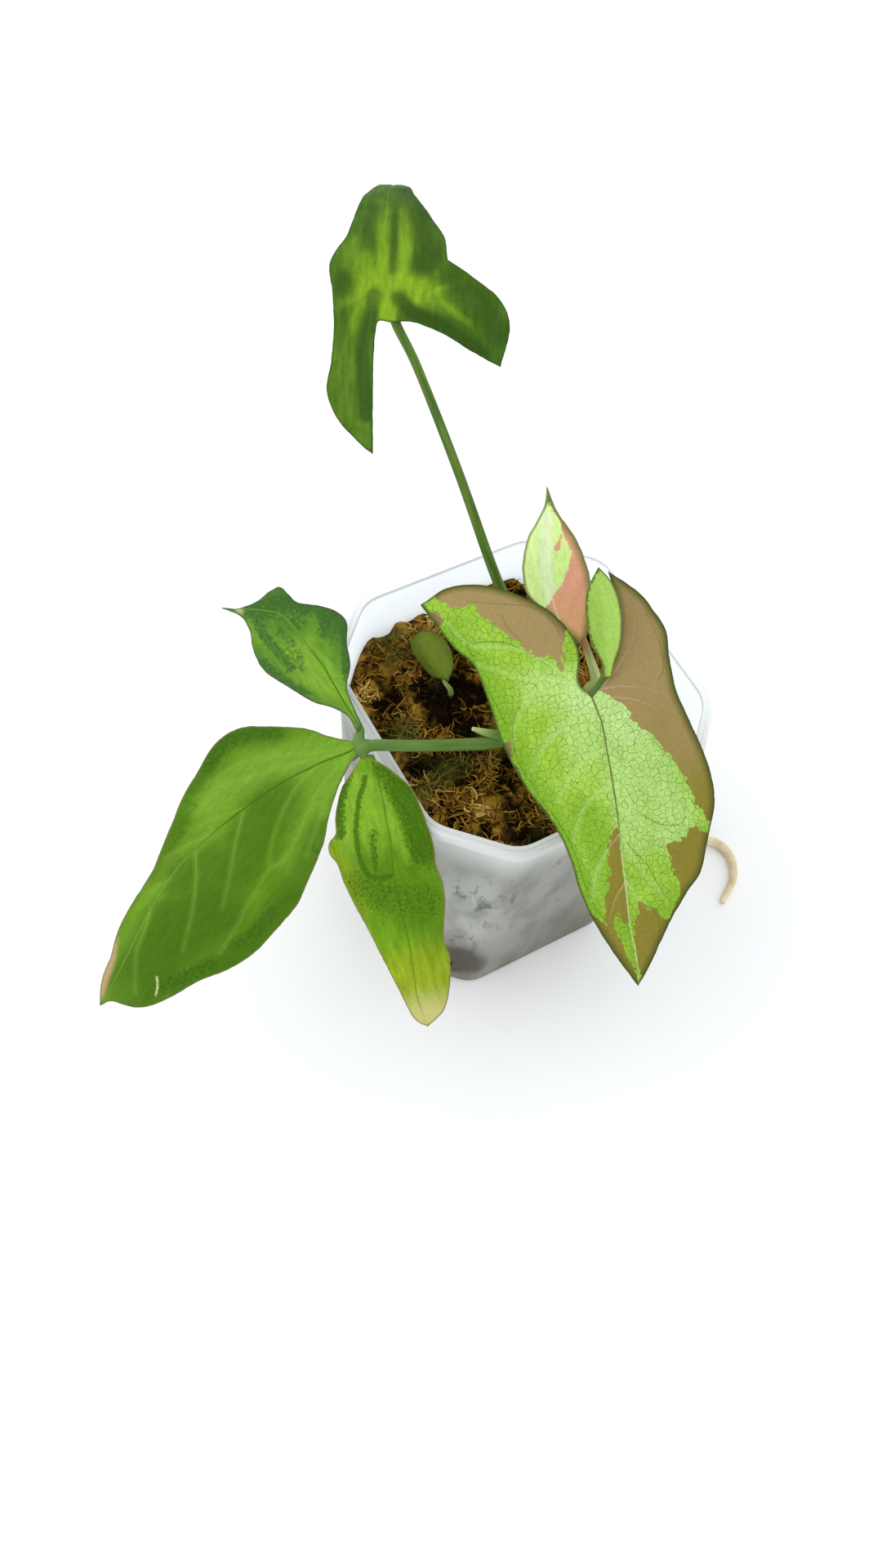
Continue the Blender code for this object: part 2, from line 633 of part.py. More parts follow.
def make_back_leaf(group):
    blade = make_blade("back_blade", BACK_FORM, BACK_RUNS, group)
    rib = make_midrib("back_rib", BACK_FORM, 38.0, group, radius=1.1)
    petiole = make_tube(
        "back_petiole", standing(BACK_AT, BACK_PETIOLE, BACK_FORM, 4.0, 1.0), group, step=5.0)
    return joined("leaf_back", [blade, rib, petiole], group)


def make_seedling_leaf(group):
    blade = make_blade("seedling_blade", SEEDLING_FORM, SEEDLING_RUNS, group)
    rib = make_midrib("seedling_rib", SEEDLING_FORM, 11.0, group, radius=0.7)
    foot = [(*SEEDLING_AT, SOCKET_FLOOR + 6.0, 0.8), (*SEEDLING_AT, 97.0, 0.8),
            (*(Vector(SEEDLING_JOINT) - Vector((0.0, 0.0, 0.4))), 0.7)]
    stalk = make_tube("seedling_stalk", foot, group, step=4.0, sides=1)
    return joined("leaf_seedling", [blade, rib, stalk], group)


def main():
    clear_scene()
    plant = new_collection("arrowhead_plant")
    slots = new_collection("slot_cutters")
    sockets = new_collection("moss_cutters")

    finished(make_pot(plant, slots), new_material("milky_plastic", (0.62, 0.64, 0.66), 0.45))
    for name, spot, radius in (
            ("stem_socket", STEM_AT, 3.3), ("tall_socket", TALL_AT, TALL_PETIOLE[0][3]),
            ("front_socket", FRONT_AT, FRONT_PETIOLE[0][3]),
            ("left_socket", LEFT_AT, LEFT_PETIOLE[0][3]),
            ("back_socket", BACK_AT, BACK_PETIOLE[0][3]),
            ("seedling_socket", SEEDLING_AT, 0.8)):
        add_socket(name, spot, radius, sockets)
    add_root_hole(sockets)
    finished(make_moss(plant, sockets), new_material("moss_brown", (0.20, 0.09, 0.03), 0.95))

    finished(make_stem(plant), new_material("stem_green", (0.45, 0.50, 0.20), 0.6))
    finished(make_tall_leaf(plant), new_material("leaf_dark_green", (0.06, 0.20, 0.03), 0.5))
    finished(make_front_leaf(plant), new_material("leaf_lime", (0.30, 0.55, 0.08), 0.5))
    finished(make_left_leaf(plant), new_material("leaf_mid_green", (0.10, 0.32, 0.04), 0.5))
    finished(make_back_leaf(plant), new_material("leaf_pale", (0.60, 0.70, 0.30), 0.5))
    finished(make_seedling_leaf(plant), new_material("leaf_seedling_green", (0.25, 0.38, 0.12), 0.6))
    root = make_tube("root", ROOT_PATH, plant, step=5.0)
    finished(root, new_material("root_tan", (0.50, 0.36, 0.20), 0.8))


main()
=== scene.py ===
"""Looks of a potted arrowhead plant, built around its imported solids.

Every length in the lists below is in millimetres, as in the part's source; MM turns it into
metres.  A blade is drawn flat, with s along its midrib towards the tip and t across it, and is
then laid on the leaf's curved form.
"""

from math import cos, pi, radians, sin

import bmesh
import bpy
import numpy as np
from mathutils import Matrix, Vector, noise
from mathutils.geometry import delaunay_2d_cdt


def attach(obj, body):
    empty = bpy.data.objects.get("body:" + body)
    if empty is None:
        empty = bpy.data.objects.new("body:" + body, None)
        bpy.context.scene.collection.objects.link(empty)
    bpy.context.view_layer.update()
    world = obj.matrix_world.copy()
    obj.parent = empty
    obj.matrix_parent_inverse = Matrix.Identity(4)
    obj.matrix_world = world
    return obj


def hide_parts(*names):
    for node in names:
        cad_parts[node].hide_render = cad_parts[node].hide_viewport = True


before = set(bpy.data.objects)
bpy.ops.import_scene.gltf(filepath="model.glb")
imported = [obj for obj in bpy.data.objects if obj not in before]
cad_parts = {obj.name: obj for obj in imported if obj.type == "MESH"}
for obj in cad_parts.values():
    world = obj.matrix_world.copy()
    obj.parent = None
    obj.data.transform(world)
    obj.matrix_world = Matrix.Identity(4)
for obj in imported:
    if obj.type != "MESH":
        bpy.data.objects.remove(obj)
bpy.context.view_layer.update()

bl_info = {
    "name": "Potted arrowhead plant",
    "version": (1, 0, 0),
    "blender": (4, 5, 0),
    "location": "3D View > Sidebar > Plant",
    "description": "Leaves, moss and pot of a young arrowhead plant",
    "category": "Add Mesh",
}

MM = 0.001
BODY = "root"
LEAF_UV = "leaf"
UV_SPAN = 100.0                 # millimetres to one unit of the leaf's own UV map


# ---------------------------------------------------------------- forms and outlines

class LeafForm:
    """The curved surface that a blade lies on, for single numbers or arrays of (s, t)."""

    def __init__(self, joint, heading, pitch, roll=0.0, droop=(0.0, 0.0), fold=(0.0, 0.0),
                 curl=(0.0, 0.0), wave=(0.0, 1.0, 0.0)):
        self.joint = np.array(joint, float)
        head, rise, lean = radians(heading), radians(pitch), radians(roll)
        self.along = np.array((cos(rise) * cos(head), cos(rise) * sin(head), sin(rise)))
        up = np.array((0.0, 0.0, 1.0)) - self.along * self.along[2]
        up /= np.linalg.norm(up)
        side = np.cross(up, self.along)
        self.up = up * cos(lean) + side * sin(lean)
        self.across = np.cross(self.up, self.along)
        self.droop, self.fold, self.curl, self.wave = droop, fold, curl, wave

    def height(self, s, t):
        tipward = 1.0 / (1.0 + np.exp(-np.clip(s / 6.0, -30.0, 30.0)))
        fold = self.fold[0] * tipward + self.fold[1] * (1.0 - tipward)
        curl = self.curl[0] * tipward + self.curl[1] * (1.0 - tipward)
        ridge = 3.0
        size, length, phase = self.wave
        ripple = size * np.sin(2.0 * pi * s / length + phase) * np.abs(t) / 15.0
        return -fold * (np.sqrt(t * t + ridge * ridge) - ridge) - curl * t * t / 2.0 + ripple

    def point(self, s, t, lift=0.0):
        s, t = np.atleast_1d(np.asarray(s, float)), np.atleast_1d(np.asarray(t, float))
        bend = np.where(s >= 0.0, self.droop[0], self.droop[1])
        safe = np.maximum(bend, 1e-6)
        h = self.height(s, t) + lift
        angle = bend * np.abs(s)
        forward = np.where(bend < 1e-6, s, np.sign(s) * (np.sin(angle) / safe + h * np.sin(angle)))
        rise = np.where(bend < 1e-6, h, h * np.cos(angle) - (1.0 - np.cos(angle)) / safe)
        return (self.joint + np.outer(forward, self.along) + np.outer(rise, self.up)
                + np.outer(t, self.across))


TALL_FORM = LeafForm((-13.5, 59.5, 191.0), 61.0, 40.0, 0.0, droop=(0.030, 0.010),
                     fold=(0.10, 0.30), curl=(0.008, 0.012))
FRONT_FORM = LeafForm((-3.0, -27.0, 142.5), -105.0, -28.0, -11.0, droop=(0.004, 0.008),
                      fold=(0.12, 0.10), curl=(0.004, 0.004), wave=(0.45, 26.0, 0.5))
EAR_FORM = LeafForm((2.0, -25.0, 146.5), 72.0, 33.0, 10.0, fold=(-0.25, -0.25))
LEFT_JOINT = (-51.0, -3.0, 118.0)
UPPER_FORM = LeafForm(LEFT_JOINT, 98.0, 14.0, 17.0, droop=(0.007, 0.0), fold=(0.15, 0.15),
                      wave=(0.5, 22.0, 1.0))
BIG_FORM = LeafForm(LEFT_JOINT, -165.0, -17.0, 13.0, droop=(0.004, 0.0), fold=(0.15, 0.15),
                    curl=(0.004, 0.004), wave=(0.5, 34.0, 0.3))
LOWER_FORM = LeafForm(LEFT_JOINT, -102.0, -20.0, -13.0, droop=(0.006, 0.0),
                      fold=(0.12, 0.12), wave=(0.6, 17.0, 0.0))
BACK_FORM = LeafForm((18.0, 0.5, 114.0), 102.0, 60.0, 34.0, fold=(-0.35, -0.35))
SEEDLING_FORM = LeafForm((-15.5, 14.0, 100.5), 97.0, 21.0, 7.0, droop=(0.02, 0.0),
                         fold=(0.10, 0.10))

TALL_RUNS = [
    [(-2.8, 1.0), (-2.6, 3.2), (-5, 3.9), (-12.5, 4), (-22.5, 3.6), (-33, 3)],
    [(-33, 3), (-31, 6), (-26, 11.5), (-19.5, 14.5), (-12.5, 13.8), (-4, 13.5), (4, 14.2),
     (11, 15), (18, 11.5), (26, 9.5), (34, 7.5), (43, 4), (52, 0)],
    [(52, 0), (44, -2.6), (35, -4.2), (27, -7.2), (20, -11), (13.5, -12)],
    [(13.5, -12), (10.5, -18), (6, -25), (-1, -28), (-11, -26.5)],
    [(-11, -26.5), (-7.5, -18.5), (-4.5, -12.5), (-2.4, -5), (-2.6, -1.2), (-2.8, 1.0)],
]
FRONT_RUNS = [
    [(0, 0), (-3.5, -2.3), (-11.5, -1), (-19.5, -4.5), (-26, -11), (-32, -20.5),
     (-33.7, -29), (-31, -36.2)],
    [(-31, -36.2), (-24.5, -33.5), (-17.5, -30), (-12, -26), (-2, -24), (5.5, -23),
     (12, -21.5), (19, -19), (26, -15.5), (32, -12.7), (39, -11), (46.5, -10), (54, -8),
     (62.5, -4.6), (73.2, 0.6)],
    [(73.2, 0.6), (68.5, 4), (63, 7.5), (57.5, 11), (52, 15.5), (47.5, 20), (41, 22.5),
     (36.5, 24), (31.5, 25.6), (25.5, 26), (18, 25), (9.5, 22.5), (2, 20.5), (-6.5, 20.5),
     (-12.5, 20.8), (-17.5, 18.7), (-22.5, 16), (-29.3, 9.6)],
    [(-29.3, 9.6), (-24, 9.9), (-15.5, 9.2), (-9, 6.8), (-4, 3.0), (0, 0)],
]
EAR_RUNS = [
    [(-1.5, -0.9), (2.2, -2), (5.5, -3.5), (10.5, -4.5), (16, -4.4), (21, -3), (24.6, -0.4)],
    [(24.6, -0.4), (20, 2.6), (15.5, 3.7), (11, 3.7), (6.3, 3), (2.5, 1.2), (-1.5, 0.9)],
    [(-1.5, 0.9), (-1.5, -0.9)],
]
UPPER_RUNS = [
    [(3, -1), (7, -1.5), (11, 0), (16.5, 4), (24, 7.2), (31, 9.6), (37.8, 9), (42.5, 7),
     (48, 6.8), (54.5, 9.6)],
    [(54.5, 9.6), (51, 6.4), (49, 1.5), (49.4, -5.5), (45.5, -6.6), (42, -7.4), (38.5, -11.2),
     (34.5, -14.2), (30, -14.8), (24.5, -11.6), (19, -9.2), (14.5, -5.2), (9.5, -4),
     (4, -2.8)],
    [(4, -2.8), (3, -1)],
]
BIG_RUNS = [
    [(0.5, -1.6), (4, -7), (7, -13), (12, -18.7), (17, -24), (21.5, -26.4), (27, -26.8),
     (33.5, -24.8), (40.5, -22.8), (47.5, -20), (54, -17.4), (59.5, -15), (65.5, -13.4),
     (72, -12), (78, -9.8), (83, -7.2), (89, -4.8), (94.5, -0.4)],
    [(94.5, -0.4), (91, 1.2), (88, 6.4), (84, 9.2), (78, 11.4), (71, 13.2), (63.5, 16.4),
     (55.5, 18), (47.5, 17.8), (39.5, 17.2), (34, 15.2), (28.5, 13), (23.5, 10.8), (18, 7.2),
     (12, 4), (5.5, 1.7), (1.5, 1)],
    [(1.5, 1), (0.5, -1.6)],
]
LOWER_RUNS = [
    [(3.2, 0.9), (6, 4.2), (9.5, 7), (14, 9.8), (22, 11.1), (29, 11.5), (33.5, 10.9),
     (38.5, 11.4), (43.5, 10.8), (49, 9.1), (53, 8.1), (58, 8.5), (65.5, 6.5), (71, 3.6),
     (74.6, -1.4)],
    [(74.6, -1.4), (71.5, -4.2), (65.5, -5.6), (58, -7), (51, -8.5), (44, -10), (38, -11.4),
     (32.5, -12.5), (27.5, -13), (24.6, -14.2), (21.8, -13.6), (19.8, -11.4), (15.5, -10.4),
     (9.5, -7.4), (6, -3.7), (3.2, -0.9)],
    [(3.2, -0.9), (3.2, 0.9)],
]
BACK_RUNS = [
    [(-0.5, 0), (3.5, -1.8), (8.5, -3.5), (14.5, -5), (20.5, -5.5), (25.5, -5.2), (31, -4.4),
     (35.5, -3), (40.5, -1.1), (47.8, 0)],
    [(47.8, 0), (43.5, 1.4), (39.5, 4.6), (36, 7.8), (30.5, 10.4), (26, 11.2), (21.5, 11.2),
     (15, 8.4), (6.5, 4.2), (-0.5, 0)],
]
SEEDLING_RUNS = [
    [(-0.5, -0.6), (1.2, -3.2), (4, -5.2), (7.5, -6.2), (11, -6.1), (14, -4.6), (15.7, -1.4)],
    [(15.7, -1.4), (14.2, 2.2), (11, 3.4), (6, 3.2), (2.6, 2.4), (-0.5, -0.6)],
]

# What is drawn on each blade, in (s, t): its midrib, side veins and fine "arcs"; areas with an
# edge ("patches", and a dry "strip" or "tip"); a small scar ("nick"); and soft strokes, as
# strokes() takes them: "light" is paler tissue with painted sheen and painted highlights,
# "yellow" and "dark" are yellow and dark tissue, and "shade" is darker tissue with painted shade.
MARKS = {
    "front_blade": dict(
        midrib=[(0, 0), (4.5, 1), (8, 1.5), (16, 1.6), (25.5, 1.7), (33, 1.5), (40.5, 1.1),
                (49, 0.9), (56.5, 0.7), (68, 1.2), (73, 0.6)],
        veins=[
            [(-0.8, -0.5), (-1.5, -2), (-2, -7), (-3, -11), (-2.5, -14.5), (1, -17), (4.5, -19),
             (8.5, -20)],
            [(-1.5, -2), (-5, -8), (-7, -15.5), (-9.5, -20), (-12.5, -25)],
            [(-1.8, -1.6), (-3.5, -3), (-10, -9.5), (-14.5, -15.5), (-16, -22), (-18, -27),
             (-24.5, -31)],
            [(4, 1), (3.8, -3), (6.5, -7.5), (10.5, -13), (15.5, -16.5)],
            [(13, 1.5), (14.5, -3), (18.5, -8), (24, -12)],
            [(22.5, 1.7), (23, -1.5), (26.5, -6), (31, -8.5), (34.5, -9.5)],
            [(34, 1.5), (38, -2.5), (43, -5.5), (49, -7.5)],
            [(46, 1), (50, -2), (56, -4.5)],
            [(-0.5, 1), (-1, 6), (-0.5, 9), (0.5, 13), (1.5, 15.5), (4, 19)],
            [(1, 0.5), (1.2, 4), (2.5, 9), (5, 13.5), (9, 18)],
            [(-1, 2.5), (-6, 8), (-13, 13), (-21, 13.5)],
            [(8, 1.5), (11, 7), (16, 12.5), (22, 17.5)],
            [(17, 1.7), (21, 7), (27, 13), (33, 18)],
            [(27.5, 1.7), (31.5, 6), (37, 11.5), (42, 16)],
            [(33, 1.5), (38, 3), (43, 5), (51, 9.5)],
            [(45, 1), (50, 3), (56, 6.5)],
        ],
        patches=[
            [(-33, -34), (-31, -31.5), (-29, -29.5), (-27.5, -28.5), (-27, -26), (-27.5, -25),
             (-27, -23.5), (-25, -23), (-23, -22), (-21, -19.5), (-18.5, -17.5), (-15, -14),
             (-12.5, -12), (-10.5, -9.5), (-11, -8), (-10, -7), (-8.5, -6.5), (-6.5, -5.5),
             (-7.5, -5), (-10, -5), (-12.5, -5), (-14, -4), (-16, -3), (-17, 1), (-26, -4),
             (-36, -16), (-38, -30)],
            [(-31, -37), (-30, -35.5), (-27.5, -32.5), (-25.5, -31), (-24, -31.5),
             (-23.5, -32.5), (-23, -36), (-30, -40)],
            [(-0.5, 2), (0.5, 4), (2.5, 5.5), (3.5, 7), (6, 8.5), (7, 8), (9, 10), (11.5, 12.5),
             (14.5, 14.5), (17.5, 16.5), (20, 18), (21, 18.5), (23.5, 19.5), (26, 20),
             (28.5, 20.5), (30.5, 20.5), (32, 22), (34.5, 23), (35, 24.5), (35, 28), (20, 32),
             (-10, 28), (-38, 10), (-20, 4), (-8, 2), (-2, 0.5)],
            [(40, 27), (38.5, 24), (37.5, 21.5), (36, 20.5), (35.5, 18), (38, 17.5),
             (38.5, 15.5), (39.5, 12), (42.5, 13), (45.5, 13), (48, 14), (51, 14), (53, 13),
             (57, 10.5), (57, 9.5), (55.5, 8.5), (54, 7.5), (54, 6), (52, 4.5), (51, 3.5),
             (54.5, 3), (56.5, 1.7), (59, 1.3), (64, 1.3), (68.5, 1.6), (73, 2), (78, 4),
             (66, 12), (55, 20), (45, 27)],
            [(32, 1.2), (33, -0.5), (35, -1), (37.5, -2), (41, -2.5), (43.5, -2), (47, -3.5),
             (50.5, -4.5), (53.5, -5), (56.5, -4.5), (58.5, -4), (58, -4.5), (56, -5.5),
             (54, -6.5), (52.5, -8), (51, -12), (60, -10), (72, -4), (76, 0.5), (70, 0.8),
             (67.5, -0.3), (65, -1.5), (62, -1.7), (59.5, -2.6), (57, -3), (54.5, -3),
             (53.5, -2), (56, -0.5), (56, 0.3), (52.5, 0.6), (47.5, 0.8), (42.5, 1),
             (38, 1.1), (33.5, 1.4)],
            [(7.5, -24), (7.5, -22), (8, -20.3), (10, -20.3), (12, -21), (14, -20.3),
             (15.5, -19), (18, -18.6), (19.5, -18.6), (21.5, -17.5), (24, -16.2), (26, -15),
             (28.5, -14.2), (30, -13.2), (30, -17), (20, -23), (8, -26)],
        ],
        arcs=[
            [(-28.5, -34.5), (-24, -31), (-20.5, -29.5), (-17.5, -27), (-14.5, -26), (-11, -25.5),
             (-6.5, -24), (-1.5, -22.4), (3.5, -21)],
            [(-17.5, -27), (-17.5, -23), (-16.5, -18.5), (-14.5, -15), (-12, -12), (-8.5, -8.5)],
            [(0, -17), (1.5, -18.5), (4.5, -19.5), (7.5, -20), (11, -19.8), (14.5, -19),
             (18, -17.5), (23, -15.5), (27.5, -13.2), (32.5, -11), (39, -9.4), (45, -8.6),
             (51.5, -6.8), (56.5, -4)],
            [(-28.5, -25), (-26.5, -19.5), (-25, -14.5), (-23.5, -10.5), (-21.5, -7.5),
             (-18, -5.5), (-14.5, -4.5)],
            [(-23, -17.5), (-19.5, -16.5), (-15.5, -14)],
            [(33.5, 1.5), (38.5, 4), (43, 7), (51, 10)],
            [(30.5, 7.5), (33.5, 11.5), (34.5, 16), (33, 18)],
            [(-17.5, 16.5), (-10, 18.6), (-3.5, 18.4), (-0.5, 16.5)],
            [(52, 4.5), (55.5, 7.5), (60.5, 7.5), (64.5, 5)],
        ],
        # Painted sheen near the sinus and beside the midrib, painted highlights on the ridges along
        # the side veins (the two narrow strokes), and paler tissue.
        light=[([(0, -1), (3, 4), (9, 7)], 2.0, 9.0, 0.9),
               ([(6, 6), (20, 11), (34, 14)], 2.0, 9.0, 0.6),
               ([(2, -2), (10, -3), (20, -3)], 2.0, 6.0, 0.55, 0.4),
               ([(8, 4), (30, 5), (45, 4)], 1.0, 7.0, 0.6, 0.3),
               ([(-2, -4), (-4, -12)], 1.0, 7.0, 0.5),
               ([(1, 0), (3, -4), (6, -8.5), (9.5, -13), (14, -17)], 0.2, 2.4, 0.42, 0.6),
               ([(5.5, 2), (11, 0.5), (17.5, -4), (23, -9)], 0.2, 2.2, 0.4, 0.7)],
        shade=[([(54, 12), (58, 6), (64, 2)], 1.0, 7.0, 0.45),
               ([(28, -6), (39, -3.5), (48, -2), (58, -1)], 1.0, 5.0, 0.6),
               ([(-22, -31), (-10, -25), (4, -22), (16, -18.5), (28, -14), (40, -10.5),
                 (52, -8)], 0.5, 5.5, 0.75)],
    ),
    "front_ear": dict(
        midrib=[(-1.4, 0), (6, -0.4), (13, -0.4), (20, -0.5), (24, -0.4)],
        veins=[[(4, -0.3), (9, 2), (14, 3)], [(5, -0.3), (10, -2.5), (16, -3.4)],
               [(11, -0.4), (16, 1.4), (19, 2.2)], [(12, -0.4), (17, -2), (20, -2.6)]],
        light=[([(4, -2), (12, -3), (20, -2)], 1.0, 3.0, 0.8)],
        dark=[([(1, 0.9), (6.3, 3), (11, 3.7), (15.5, 3.7), (20, 2.6), (24, 0)], 0.35, 0.9, 1.0)],
    ),
    "left_big": dict(
        midrib=[(0.5, -0.3), (3.5, -0.9), (11, -4), (20.5, -7), (29, -8.7), (39, -10),
                (47, -10.6), (56, -10.4), (65.5, -8.5), (74.5, -5.7), (82.5, -3.3), (91, -1),
                (94, -0.4)],
        veins=[
            [(2.5, -1.6), (10.5, -7.5), (17, -13), (23, -17.5), (29.5, -20), (35, -20.5)],
            [(4, -1.4), (15.5, -8.6), (24.5, -13.5), (32, -17.5), (39, -20)],
            [(31, -9), (39, -12.5), (46, -16)],
            [(41.5, -10.3), (46, -11.8), (50.5, -13.5), (55.5, -14.8)],
            [(58, -10.2), (63, -11), (69, -11)],
            [(11, -4), (13.5, -4), (20, -3.5), (27, -1), (33, 2), (38.5, 6.2)],
            [(3, -0.8), (9, 0), (15.5, 0.7), (22, 3), (28.5, 5.5), (34, 6.8), (38.5, 6.2),
             (44, 7.5), (50, 9), (55, 10.5), (62, 12)],
            [(3, -0.6), (10, 2), (16.5, 4), (21.5, 6.5), (29, 10)],
            [(32, -9.2), (40, -4), (47, 1), (53, 4.5)],
            [(48, -10.5), (53, -5), (58.5, -0.5), (63.5, 2.5), (68, 5)],
            [(66, -8.4), (72, -5.2), (77, -3), (83, 2), (85, 4)],
        ],
        light=[([(5, 0), (14, 2), (24, 7), (32, 11)], 1.0, 7.0, 0.8),
               ([(4, -3), (14, -9), (26, -15), (38, -16)], 1.5, 7.0, 0.8),
               ([(40, -12), (56, -12), (70, -9), (84, -5), (92, -1)], 0.6, 4.5, 0.6),
               ([(86, 2), (90, 0)], 1.0, 5.0, 1.0)],
        shade=[([(55.5, -8), (49, -4.5), (43, 0), (34, -3), (24, -4.5)], 2.6, 7.0, 0.6),
               ([(84, 2), (76, 2), (66.5, 1), (55, 3)], 4.0, 9.0, 0.75),
               ([(38, -23), (30, -24.5), (22, -25), (13, -18)], 0.6, 5.0, 0.75),
               ([(60, -13.5), (50, -17), (40, -21)], 0.4, 3.5, 0.5),
               ([(22, 8.5), (34, 13), (45, 15.5), (60, 15), (76, 10)], 0.8, 6.0, 0.75)],
        dark=[([(31, -24), (23.5, -25), (17, -22), (12, -16.5), (8, -11)], 0.9, 3.6, 0.95, 0.3),
              ([(41.5, -21), (40.5, -18.5)], 0.3, 1.6, 0.75),
              ([(50, -16.5), (46.5, -15.5)], 0.3, 1.8, 0.75),
              ([(27.5, 8.5), (26, 11)], 0.3, 2.0, 0.8),
              ([(44, 11.5), (39.5, 11)], 0.2, 1.5, 0.6),
              ([(58, 13), (52, 14.5), (45, 14)], 0.8, 3.2, 0.85),
              ([(80, 7.5), (72, 10), (65.5, 12.5)], 0.8, 3.0, 0.85),
              ([(61, 3.5), (60, 4.5)], 0.1, 1.4, 0.7), ([(53, 8), (52, 9)], 0.1, 1.4, 0.7)],
        strip=[(96, -1), (92, -1.2), (89, -2.6), (86, -4), (82, -6), (78, -9), (90, -9)],
        nick=[(77.5, 5.0), (79.3, 6.8), (81.5, 8.0)],
    ),
    "left_lower": dict(
        midrib=[(3.2, 0), (3.6, 1.6), (8.5, 2), (15, 2), (20, 1.6), (25, 1.3), (30, 0.6),
                (34, 0), (40.5, -0.4), (48.5, -0.4), (56.5, -1), (66, -2), (74, -1.4)],
        veins=[
            [(8, 1.8), (13, 5), (20, 8.5), (27, 10)],
            [(15, 2), (21, 5), (28, 8.5), (35, 9.8)],
            [(25, 1.3), (31, 5), (39, 8), (45, 9)],
            [(34, 0), (41, 3.5), (49, 6.5)],
            [(44, -0.4), (51, 2.5), (58, 5.5)],
            [(36, -0.2), (42, -4), (48, -7)],
            [(47, -0.4), (53, -3.5), (60, -5.4)],
            [(6, 1.5), (9, -0.5), (10.5, -2), (13, -3.5), (16.5, -5), (21, -6.5), (26, -7),
             (30, -7), (32.5, -6), (33.5, -3.5), (34, -0.5)],
            [(8, -1.5), (13, -6), (19, -9.5)],
        ],
        light=[([(8, -3.5), (12.5, -6), (18.5, -8), (24.5, -9), (30, -8.5)], 0.7, 2.4, 1.0),
               ([(9, 3.2), (19.5, 3), (25.5, 3.5), (31, 4.5)], 0.4, 1.6, 0.9),
               ([(10, 0.5), (18, -1.5), (26, -3)], 1.2, 3.5, 0.7)],
        yellow=[([(25, -13.5), (31, -11), (40, -9.5)], 0.4, 3.6, 0.7),
                ([(65, -8), (65, 10)], 2.0, 15.0, 1.0), ([(68, 0), (80, 0)], 12.0, 8.0, 1.0)],
        dark=[([(8, -0.8), (10.5, -2), (13, -3.6), (16.5, -5), (21, -6.5), (26, -7), (30, -6.8),
                (32.5, -5.6), (33.5, -3.5), (33.5, -1)], 0.3, 1.0, 1.25),
              ([(22, -2.2), (26, -3.2), (31, -3.8)], 0.3, 1.8, 0.95),
              ([(15, -2.5), (22, -4.4)], 0.6, 2.4, 0.5),
              ([(7, 5.2), (12.5, 7), (19, 8.2), (27, 8.6), (33.5, 8.4), (42, 7)], 2.4, 4.2,
               0.95, 0.3),
              ([(6, -5), (10.5, -8), (16, -9.8), (20, -10.5)], 0.9, 2.4, 1.1),
              ([(34, -9), (37, -5.5), (39.5, -1), (42, 6)], 1.5, 10.0, 0.78),
              ([(44, -7), (48, -0.5), (52, 5)], 1.0, 9.0, 0.42)],
        shade=[([(8, 6.5), (19, 9), (30, 9.6), (40, 8.6)], 2.0, 4.5, 0.7, 0.3),
               ([(34, -4), (40, 3), (46, 8)], 1.0, 16.0, 0.6)],
        tip=[(80, -10), (69, -10), (66, -3), (67, 3), (70, 10), (80, 8)],
    ),
    "left_upper": dict(
        midrib=[(3.4, -1.9), (6.5, -2.4), (12.5, -2.6), (17.5, -3), (23, -3.4), (29.5, -3.1),
                (36.5, -2.8), (42, -1.8), (46, 1.5), (50, 5.5), (54, 9)],
        veins=[
            [(8, -2.5), (14, 0.5), (22, 4), (30, 7)],
            [(16, -2.9), (23, 0), (31, 3.4), (38, 6.5)],
            [(25, -3.3), (32, 0), (39, 3), (43, 5)],
            [(12, -2.6), (19, -6), (25, -9.5)],
            [(20, -3.2), (27, -7), (32, -12)],
            [(29, -3.1), (35, -6), (38, -9.5)],
        ],
        light=[([(7, -2), (13, -1), (22, -0.5), (30, -1)], 1.6, 5.0, 0.9)],
        dark=[([(43.5, 4), (38, 4.6), (32.5, 3.8), (27, 3.4)], 0.7, 2.2, 1.0),
              ([(49, 4), (46.5, 1.5), (45, -1.5), (43, -5.5), (39.5, -9)], 1.6, 4.2, 1.0),
              ([(33, -14.5), (27, -13.5), (21, -11), (16, -7.5), (11, -4)], 1.6, 3.2, 1.0, 0.3),
              ([(37, -12), (33, -11.5), (28, -8.5), (24, -7)], 1.8, 3.6, 0.95, 0.4),
              ([(33, 9), (24.5, 6.8), (17, 3.4), (10.5, 0.4)], 0.8, 2.6, 0.95, 0.4),
              ([(25, 1.6), (31, 0.2), (37, 0.6)], 0.6, 2.6, 0.8),
              ([(36, -5), (40, -3), (43, 0)], 1.0, 3.0, 0.8)],
        shade=[([(48, -4), (42, -9), (36, -13), (28, -14), (21, -11.5)], 1.6, 5.5, 0.8),
               ([(47, 2), (41, 0), (36, -4)], 1.0, 6.0, 0.55),
               ([(36, 9), (26, 7.5), (18, 4.5), (10, 0)], 0.5, 3.6, 0.6)],
        strip=[(48.5, 6), (50.5, 6.6), (53, 8), (58, 12), (58, 7), (53, 5.6), (50.8, 5)],
    ),
    "tall_blade": dict(
        midrib=[(2.2, 2), (4.5, 2), (10, 2.4), (16.5, 2.5), (26, 2.4), (40, 1.6), (51, 0.1)],
        veins=[
            [(5, 1.6), (8, -1), (10.5, -1.6), (15.5, -2), (21.5, -1.6), (28, -1.6), (36, -2)],
            [(4, 1.4), (3.8, -5), (3.5, -8.5), (2.3, -12.5), (0.5, -15), (-2, -18), (-5, -22),
             (-8, -25)],
            [(3.8, -6), (8, -12), (9, -16)],
            [(3, -10), (5, -15), (4, -21)],
            [(3.5, 3), (0, 5.5), (-5, 7.5), (-12, 9.5), (-20, 10), (-28, 7)],
            [(4.5, 3), (9, 8), (15, 10.5), (20, 9.8)],
            [(3.6, 3), (2, 8), (-3, 11.5), (-10, 12.4)],
            [(14, 2.5), (21, 5.5), (29, 7)],
            [(13, 2.5), (18, -4), (24, -7)],
            [(24, 2.4), (31, 4.4), (38, 4.6)],
